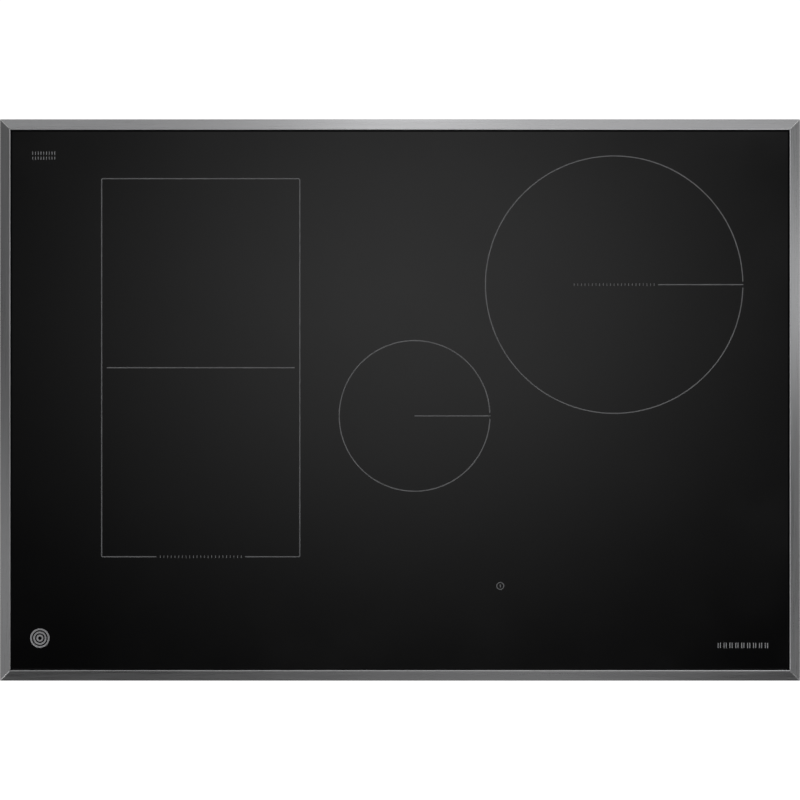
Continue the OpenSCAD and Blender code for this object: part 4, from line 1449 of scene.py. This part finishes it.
@dataclass
class Controls:
    """The control board under the glass, its cradle, and the springs that feel each touch.

    The displays' and chips' places and sizes are in millimetres.
    """

    springs: int = 13
    pitch: float = 28 * MM
    spring_r: float = 3.6 * MM
    spring_wire: float = 0.32 * MM
    first_spring: float = 4 * MM
    displays_x: tuple[float, ...] = (-160, -96, -32, 32, 96, 160)
    display_y: float = -210.3
    display_half: float = 12.3
    display_deep: float = 12.6
    display_high: float = 6
    window_proud: float = 0.3
    chips_in: float = 1.5
    chips: tuple[tuple[float, float], ...] = ((17, 7.0), (26, 2.2), (30, 2.2), (34, 2.2), (40, 4.5))

    def build(self) -> None:
        """Dresses the board and cradle, and winds the touch springs."""
        dress("touch_board", Finish.BOARD, 0.15 * MM)
        dress("touch_carrier", Finish.WHITE_PLASTIC, 0.25 * MM)
        low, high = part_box("touch_springs")
        spring = coil_spring(self.spring_r, self.spring_wire, low.z, high.z, 6.0, 6)
        x, y = low.x + self.first_spring, (low.y + high.y) / 2
        made = [spring.moved((x + k * self.pitch, y, 0)) for k in range(self.springs)]
        place_piece("key_springs", made, Finish.SPRING, 80.0, ("touch_springs",))
        self.displays()

    def displays(self) -> None:
        """Covers each display block with a smoked window and sets the board's chips out between them."""
        z = top("touch_board") - self.display_high * MM
        half, y, high = self.display_half, self.display_y, self.display_high + self.window_proud
        windows, chips = [], []
        for x in self.displays_x:
            windows.append(block((x - half, x + half), (y, y + self.display_deep), z, high, 0.5))
        y += self.chips_in
        for x in self.displays_x[:-1]:
            chips += [block((x + at, x + at + size), (y, y + size), z, 1.2, 0.25) for at, size in self.chips]
        place_piece("display_windows", windows, Finish.WINDOW)
        place_piece("touch_chips", chips, Finish.BLACK_PLASTIC)


@dataclass
class Supply:
    """Where the mains comes in: the terminal block, its cover and the conduit connector."""

    ways: int = 4
    pitch: float = 12 * MM
    first_way: float = 7 * MM
    screw_sunk: float = 4 * MM

    def build(self) -> None:
        """Dresses the supply's pieces and adds the terminals' screws."""
        dress("terminal_block", Finish.TERMINAL, 0.3 * MM)
        dress("terminal_cover", Finish.SHEET)
        dress("cable_gland", Finish.CAST_ZINC, 0.4 * MM)
        screw = MachineScrew(shank=1.6 * MM, head=2.7 * MM, head_h=1.6 * MM, pitch=0.8 * MM, recess=0.9 * MM)
        shell = screw.build(5 * MM).turned(facing("z", -1))
        low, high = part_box("terminal_block")
        x, y, z = (low.x + high.x) / 2, low.y + self.first_way, high.z - self.screw_sunk
        made = [shell.moved((x, y + k * self.pitch, z)) for k in range(self.ways)]
        place_piece("terminal_screws", made, Finish.ZINC)


@dataclass
class HoldDownClamp:
    """One clamp under the worktop: its jack screw with a real thread."""

    side: str
    shank: float = 2.98 * MM
    pitch: float = 1.0 * MM
    head: float = 6.0 * MM
    head_h: float = 4.0 * MM
    thread: float = 0.55 * MM
    sides: int = 24
    recess: float = 2.2 * MM

    def build(self) -> None:
        """Makes the jack screw, and dresses the foot."""
        centre = middle(f"clamp_screw_{self.side}")
        low, high = bottom(f"clamp_screw_{self.side}"), top(f"clamp_screw_{self.side}")
        screw = MachineScrew(
            self.shank, self.head, self.head_h, self.pitch, self.thread, self.sides, self.recess
        )
        shell = screw.build(high - low - self.head_h).moved((centre[0], centre[1], low + self.head_h))
        stands_for, body = (f"clamp_screw_{self.side}",), f"jack_{self.side}"
        place_piece(f"jack_screw_{self.side}", [shell], Finish.ZINC, 40.0, stands_for, body)
        dress(f"clamp_foot_{self.side}", Finish.PAD, 0.5 * MM)


@dataclass(frozen=True)
class Cable:
    """One internal cable: insulated cores twisted round the route of its middle."""

    name: str
    radius: float
    cores: int
    up: Triple
    route: tuple[Triple, ...]
    twist: float = 26 * MM

    def shells(self) -> list[Shell]:
        """Lays each core as a helix round the route.

        With side and other square to the route, core k is at route + lay (cos f * side + sin f * other),
        where f is the length so far over the twist's pitch, plus k shares of a turn. The lay is the
        cable's radius less a core's, and it closes in at both ends.

        Returns:
            Each core as a closed tube.
        """
        path = smooth_route(np.asarray(self.route, float) * MM, 16)
        step = np.linalg.norm(np.diff(path, axis=0), axis=1)
        length = np.concatenate([[0], np.cumsum(step)])
        side, other = square_to(path, self.up)
        core = self.radius * (0.5 if self.cores == 2 else 0.45) * MM
        lay = self.radius * MM - core
        made = []
        for k in range(self.cores):
            turn = length / self.twist * TAU + k * TAU / self.cores
            centre = path + lay * (np.cos(turn)[:, None] * side + np.sin(turn)[:, None] * other)
            made.append(tube(centre, core, 10, self.up))
        return made


CABLES = (
    Cable("coil_leads", 2, 2, (1, 0, 0), (
        (208.8, 4, 98.1), (208.8, -4, 97.4), (208.8, -12, 90), (208.8, -14, 78), (208.8, -14, 60),
        (207, -14, 40), (202, -18, 26), (200, -20, 12))),
    Cable("coil_leads", 2, 2, (0, 1, 0), (
        (78.8, -15.5, 98.1), (86, -15.5, 97.2), (94, -15.5, 90), (95, -15.5, 78), (95, -15.5, 62),
        (102, -15.5, 48), (130, -16, 36), (165, -16, 30), (184, -16, 24), (188, -16, 12))),
    Cable("coil_leads", 2, 2, (0, 1, 0), (
        (-278.8, -61, 98.1), (-288, -61, 97.2), (-299, -61, 90), (-300, -61, 78), (-300, -61, 60),
        (-302, -61, 40), (-309, -61, 26), (-310, -61, 12))),
    Cable("coil_leads", 2, 2, (1, 0, 0), (
        (-278.8, 123.6, 98.1), (-290, 123.6, 97.2), (-299, 123.6, 88), (-300, 123.4, 76), (-300, 123, 58),
        (-303, 112, 46), (-308, 70, 40), (-310, 20, 34), (-310, 2, 24), (-310, 0, 12))),
    Cable("mains_leads", 3, 3, (1, 0, 0), (
        (38, 185.5, 42), (38, 172, 42), (36, 120, 36), (33, 75, 30), (32, 56, 22), (32, 54, 12))),
    Cable("mains_leads", 2.5, 2, (0, 1, 0), (
        (-140, -30, 12), (-142, -30, 22), (-157, -30, 28), (-178, -30, 24), (-182, -30, 12))),
    Cable("mains_leads", 2.5, 2, (0, 1, 0), (
        (140, -36, 12), (142, -36, 22), (157, -36, 24), (178, -36, 22), (182, -36, 12))),
    Cable("control_leads", 1.8, 4, (1, 0, 0), (
        (0, -52, 12), (0, -58, 22), (0, -100, 30), (0, -130, 46), (0, -138, 66), (0, -140, 80),
        (0, -148, 90.8))),
    Cable("fan_leads", 1.5, 2, (1, 0, 0), (
        (-194, 140, 20), (-188, 132, 20), (-184, 110, 20), (-181, 85, 20), (-180, 68, 18), (-180, 66.5, 13))),
    Cable("fan_leads", 1.5, 2, (1, 0, 0), (
        (194, 140, 20), (188, 132, 20), (184, 110, 20), (181, 85, 20), (180, 68, 18), (180, 66.5, 13))),
)


@dataclass
class Wiring:
    """The cables between the boards, coils, fans and terminals."""

    def build(self) -> None:
        """Lays each group of cables as one piece."""
        groups = {cable.name: [] for cable in CABLES}
        for cable in CABLES:
            groups[cable.name] += cable.shells()
        for name, shells in groups.items():
            place_piece(name, shells, Finish.WIRE, 80.0, ("wiring_harness",))


# ---- Studio ----


@dataclass(frozen=True)
class GlowCard:
    """A large soft light with a graded face, seen only in reflections."""

    name: str
    middle: Triple
    aim: Triple
    along: Triple
    half: tuple[float, float]
    stops: tuple[tuple[float, float], ...]
    spread: float = 0.6

    def build(self) -> None:
        """Makes the card: brightness runs through its stops along its width and fades out across it.

        The fade is the bell exp(-(y / spread)^2) of the height on the card.
        """
        g = Graph(self.name)
        along, up = g.on_card()
        across = g.span(along, 0, 1, -self.half[0], self.half[0])
        peak = max(share for _, share in self.stops)
        marks = [(0.5 + place / self.half[0] / 2, (share / peak,) * 3) for place, share in self.stops]
        level = g.ramp(across, marks)
        height = g.maths("DIVIDE", up, self.half[1] * self.spread)
        bell = g.bell(g.maths("MULTIPLY", height, height))
        glow = g.glow({"Color": level, "Strength": g.maths("MULTIPLY", bell, peak)})
        show_card(self.name, self.half, self.middle, self.aim, self.along, glow)


def flat_sheet(name: str, half: tuple[float, float], material: bpy.types.Material) -> bpy.types.Object:
    """Lays a flat sheet of eight by eight faces round the origin, for the studio."""
    u, v = np.meshgrid(*(np.linspace(-reach, reach, 9) for reach in half), indexing="ij")
    shell = lattice(np.stack([u, v, 0 * u], axis=-1))
    mesh = bpy.data.meshes.new(name)
    mesh.from_pydata(shell.points.tolist(), [], shell.quads.tolist())
    mesh.materials.append(material)
    return stand(name, mesh)


def show_card(name: str, half: tuple[float, float], place: Triple, aim: Triple, along: Triple,
              material: bpy.types.Material) -> None:
    """Stands a flat card in the studio, facing a point, so that only glossy surfaces see it.

    Args:
        name: The card's name.
        half: Half its width and half its height.
        place: Where its middle is.
        aim: The point that it faces.
        along: The level direction that its width runs in.
        material: Its glow.
    """
    card = flat_sheet(name, half, material)
    right = np.asarray(along, float)
    ahead = np.asarray(aim, float) - np.asarray(place, float)
    ahead /= np.linalg.norm(ahead)
    up = np.cross(ahead, right)
    up *= 1 if up @ (0, 0.001, 1) > 0 else -1
    turn = Matrix(np.column_stack([right, up, np.cross(right, up)]).tolist()).to_4x4()
    card.matrix_world = Matrix.Translation(place) @ turn
    card.visible_camera = card.visible_diffuse = card.visible_shadow = False


@dataclass
class Studio:
    """The pale floor, the soft lights and the camera straight above."""

    frame_width: float = 0.781
    camera_height: float = 6.0
    sensor: float = 36.0
    rim_height: float = 0.098
    clip: tuple[float, float] = (0.1, 100.0)
    floor_half: float = 30.0
    floor_drop: float = 0.02 * MM
    floor_tones: tuple[float, float] = (0.78, 0.82)
    world_colour: Colour = (0.93, 0.96, 1.0)
    world_level: float = 0.072
    overhead_at: float = 13.0
    overhead_half: float = 7.0
    glass_at: float = 0.1
    bell_x: tuple[float, float] = (0.02, 0.228)
    bell_y: tuple[float, float] = (0.122, 0.196)
    bell_level: float = 0.69
    ring_squash: float = 0.66
    ring_from_to: tuple[float, float] = (0.98, 1.35)
    ring_level: float = 1.15
    ring_rear: tuple[float, ...] = (0.9, 1.6, -1.0, 1.0)
    ring_right: tuple[float, ...] = (0.12, 1.1, -1.6, 1.6)
    card_half: tuple[float, float] = (1.5, 0.42)
    card_out: float = 1.25
    card_up: float = 0.66
    side_card_out: float = 1.37
    high_out: float = 1.0
    high_up: float = 1.84
    lamp_size: float = 1.8

    def build(self) -> None:
        """Sets up everything that isn't the cooktop."""
        scene = bpy.context.scene
        scene.view_settings.view_transform = "Standard"
        self.floor()
        self.world()
        self.overhead()
        self.side_cards()
        self.soft_lights()
        self.camera()

    def floor(self) -> None:
        """Lays a pale floor of slightly uneven tone, and a greyer one that only its reflections show."""
        for name, glow in (("studio_floor", 0.85), ("studio_floor_reflected", 0.3)):
            g = Graph(name)
            dark, pale = ((tone,) * 3 for tone in self.floor_tones)
            glowing = g.coat({
                "Base Color": g.ramp(g.noise(g.place(ONES), 3.0, 4.0), [(0.3, dark), (0.7, pale)]),
                "Roughness": 0.9, "Emission Color": (1, 1, 1, 1), "Emission Strength": glow,
            })
            floor = flat_sheet(name, (self.floor_half, self.floor_half), glowing)
            floor.location.z = -self.floor_drop
            seen = name == "studio_floor"
            floor.visible_camera, floor.visible_glossy, floor.visible_diffuse = seen, not seen, not seen

    def world(self) -> None:
        """Fills the studio with a dim, even light."""
        world = bpy.data.worlds.new("studio")
        bpy.context.scene.world = world
        world.use_nodes = True
        glow = world.node_tree.nodes["Background"]
        glow.inputs["Color"].default_value = (*self.world_colour, 1.0)
        glow.inputs["Strength"].default_value = self.world_level

    def overhead(self) -> None:
        """Hangs a wide card above the camera: a soft round bell off centre, in a four-sided ring of light.

        The glass mirrors only the bell, and the frame's rougher lip gathers the ring as well. The bell is
        exp(-(x^2 / sx^2 + y^2 / sy^2) / 2) about its centre. The ring rises with the larger of |y| and a
        share of |x|, and is brighter towards the rear and the right.
        """
        g = Graph("overhead_card")
        spot = g.on_card()
        spread = 1 + (self.overhead_at - self.glass_at) / self.camera_height
        squares = []
        for part, (centre, sigma) in zip(spot, (self.bell_x, self.bell_y)):
            shifted = g.maths("SUBTRACT", part, centre * spread)
            away = g.maths("DIVIDE", shifted, sigma * spread * math.sqrt(2))
            squares.append(g.maths("MULTIPLY", away, away))
        bell = g.maths("MULTIPLY", g.bell(g.maths("ADD", *squares)), self.bell_level)
        out_x, out_y = (g.maths("ABSOLUTE", part) for part in spot)
        out = g.maths("MAXIMUM", g.maths("MULTIPLY", out_x, self.ring_squash), out_y)
        ring = g.span(out, 0, self.ring_level, *self.ring_from_to)
        tilt = g.maths("MULTIPLY", g.span(spot[1], *self.ring_rear), g.span(spot[0], *self.ring_right))
        glow = g.glow({"Strength": g.maths("ADD", bell, g.maths("MULTIPLY", ring, tilt))})
        half = (self.overhead_half, self.overhead_half)
        show_card("overhead_card", half, (0, 0, self.overhead_at), (0, 0, 0), (1, 0, 0), glow)

    def side_cards(self) -> None:
        """Stands a graded card on each side, where the frame's bevels look, and three even ones higher up."""
        x, y, half = (1, 0, 0), (0, 1, 0), self.card_half
        rear = (
            (-1.5, 0.0), (-1.1, 0.4), (-0.6, 0.7), (-0.306, 0.7), (-0.18, 0.84), (-0.108, 1.2),
            (-0.036, 2.3), (0.036, 2.25), (0.108, 1.42), (0.216, 1.3), (0.324, 1.15), (0.45, 0.85),
            (0.7, 0.85), (1.1, 0.4), (1.5, 0.0),
        )
        front = (
            (-1.5, 0.0), (-0.306, 0.0), (-0.25, 0.05), (-0.18, 0.15), (-0.108, 0.2), (-0.036, 0.24),
            (0.036, 0.38), (0.108, 0.36), (0.18, 0.48), (0.252, 0.31), (0.324, 0.22), (0.396, 0.1),
            (0.468, 0.0), (1.5, 0.0),
        )
        left = (
            (-1.5, 0.0), (-0.9, 0.34), (-0.278, 0.48), (-0.221, 0.72), (-0.16, 0.63), (-0.104, 0.48),
            (-0.048, 0.25), (0.016, 0.23), (0.07, 0.23), (0.6, 0.22), (1.5, 0.0),
        )
        right = (
            (-1.5, 0.0), (-0.9, 0.25), (-0.272, 0.26), (-0.16, 0.2), (-0.096, 0.08), (-0.05, 0.02),
            (0.0, 0.35), (0.064, 1.15), (0.128, 1.6), (0.192, 0.9), (0.248, 0.62), (0.304, 0.28),
            (0.6, 0.28), (1.5, 0.0),
        )
        even = ((-1.5, 0.0), (-0.7, 1.0), (0.7, 1.0), (1.5, 0.0))
        for name, aim, run, level in (
            ("rear_high_card", (0, 0.263, 0.105), x, 1.7),
            ("front_high_card", (0, -0.263, 0.105), x, 1.15),
            ("right_high_card", (0.38, 0, 0.105), y, 1.5),
        ):
            out_x, out_y = np.sign(aim[:2]) * self.high_out
            place = (aim[0] + out_x, aim[1] + out_y, self.high_up)
            GlowCard(name, place, aim, run, half, tuple((at, share * level) for at, share in even)).build()
        far, side, up = self.card_out, self.side_card_out, self.card_up
        GlowCard("rear_card", (0, far, up), (0, 0.27, 0.1), x, half, rear).build()
        GlowCard("front_card", (0, -far, up), (0, -0.27, 0.1), x, half, front).build()
        GlowCard("left_card", (-side, 0, up), (-0.39, 0, 0.1), y, half, left).build()
        GlowCard("right_card", (side, 0, up), (0.39, 0, 0.1), y, half, right).build()

    def soft_lights(self) -> None:
        """Hangs two large soft lamps to the sides for the faces that the cards don't reach."""
        for name, place, power in (
            ("soft_left", (-2.6, -2.2, 2.6), 55.0), ("soft_right", (2.4, 2.6, 3.0), 45.0),
        ):
            lamp = bpy.data.lights.new(name, "AREA")
            lamp.energy, lamp.size = power, self.lamp_size
            holder = stand(name, lamp)
            holder.location = place
            holder.rotation_mode = "QUATERNION"
            holder.rotation_quaternion = holder.location.to_track_quat("Z", "Y")

    def camera(self) -> None:
        """Hangs a long-lens camera straight above, framing the cooktop's full width."""
        data = bpy.data.cameras.new("camera")
        data.sensor_width = self.sensor
        data.lens = self.sensor * (self.camera_height - CAD_BOX[0].z - self.rim_height) / self.frame_width
        data.clip_start, data.clip_end = self.clip
        holder = stand("camera", data)
        holder.location = (0, 0, self.camera_height)
        bpy.context.scene.camera = holder


def main() -> None:
    """Builds the studio and the cooktop in order."""
    logging.basicConfig(level=logging.INFO, format="%(message)s")
    Studio().build()
    Surround().build()
    GlassPanel().build()
    BurnerBox().build()
    CoilDeck().build()
    for side in ("left", "right"):
        Fan(side).build()
        HoldDownClamp(side).build()
    dress("clamp_brackets", Finish.SHEET)
    Electronics().build()
    Controls().build()
    Supply().build()
    Wiring().build()


if __name__ == "__main__":
    main()
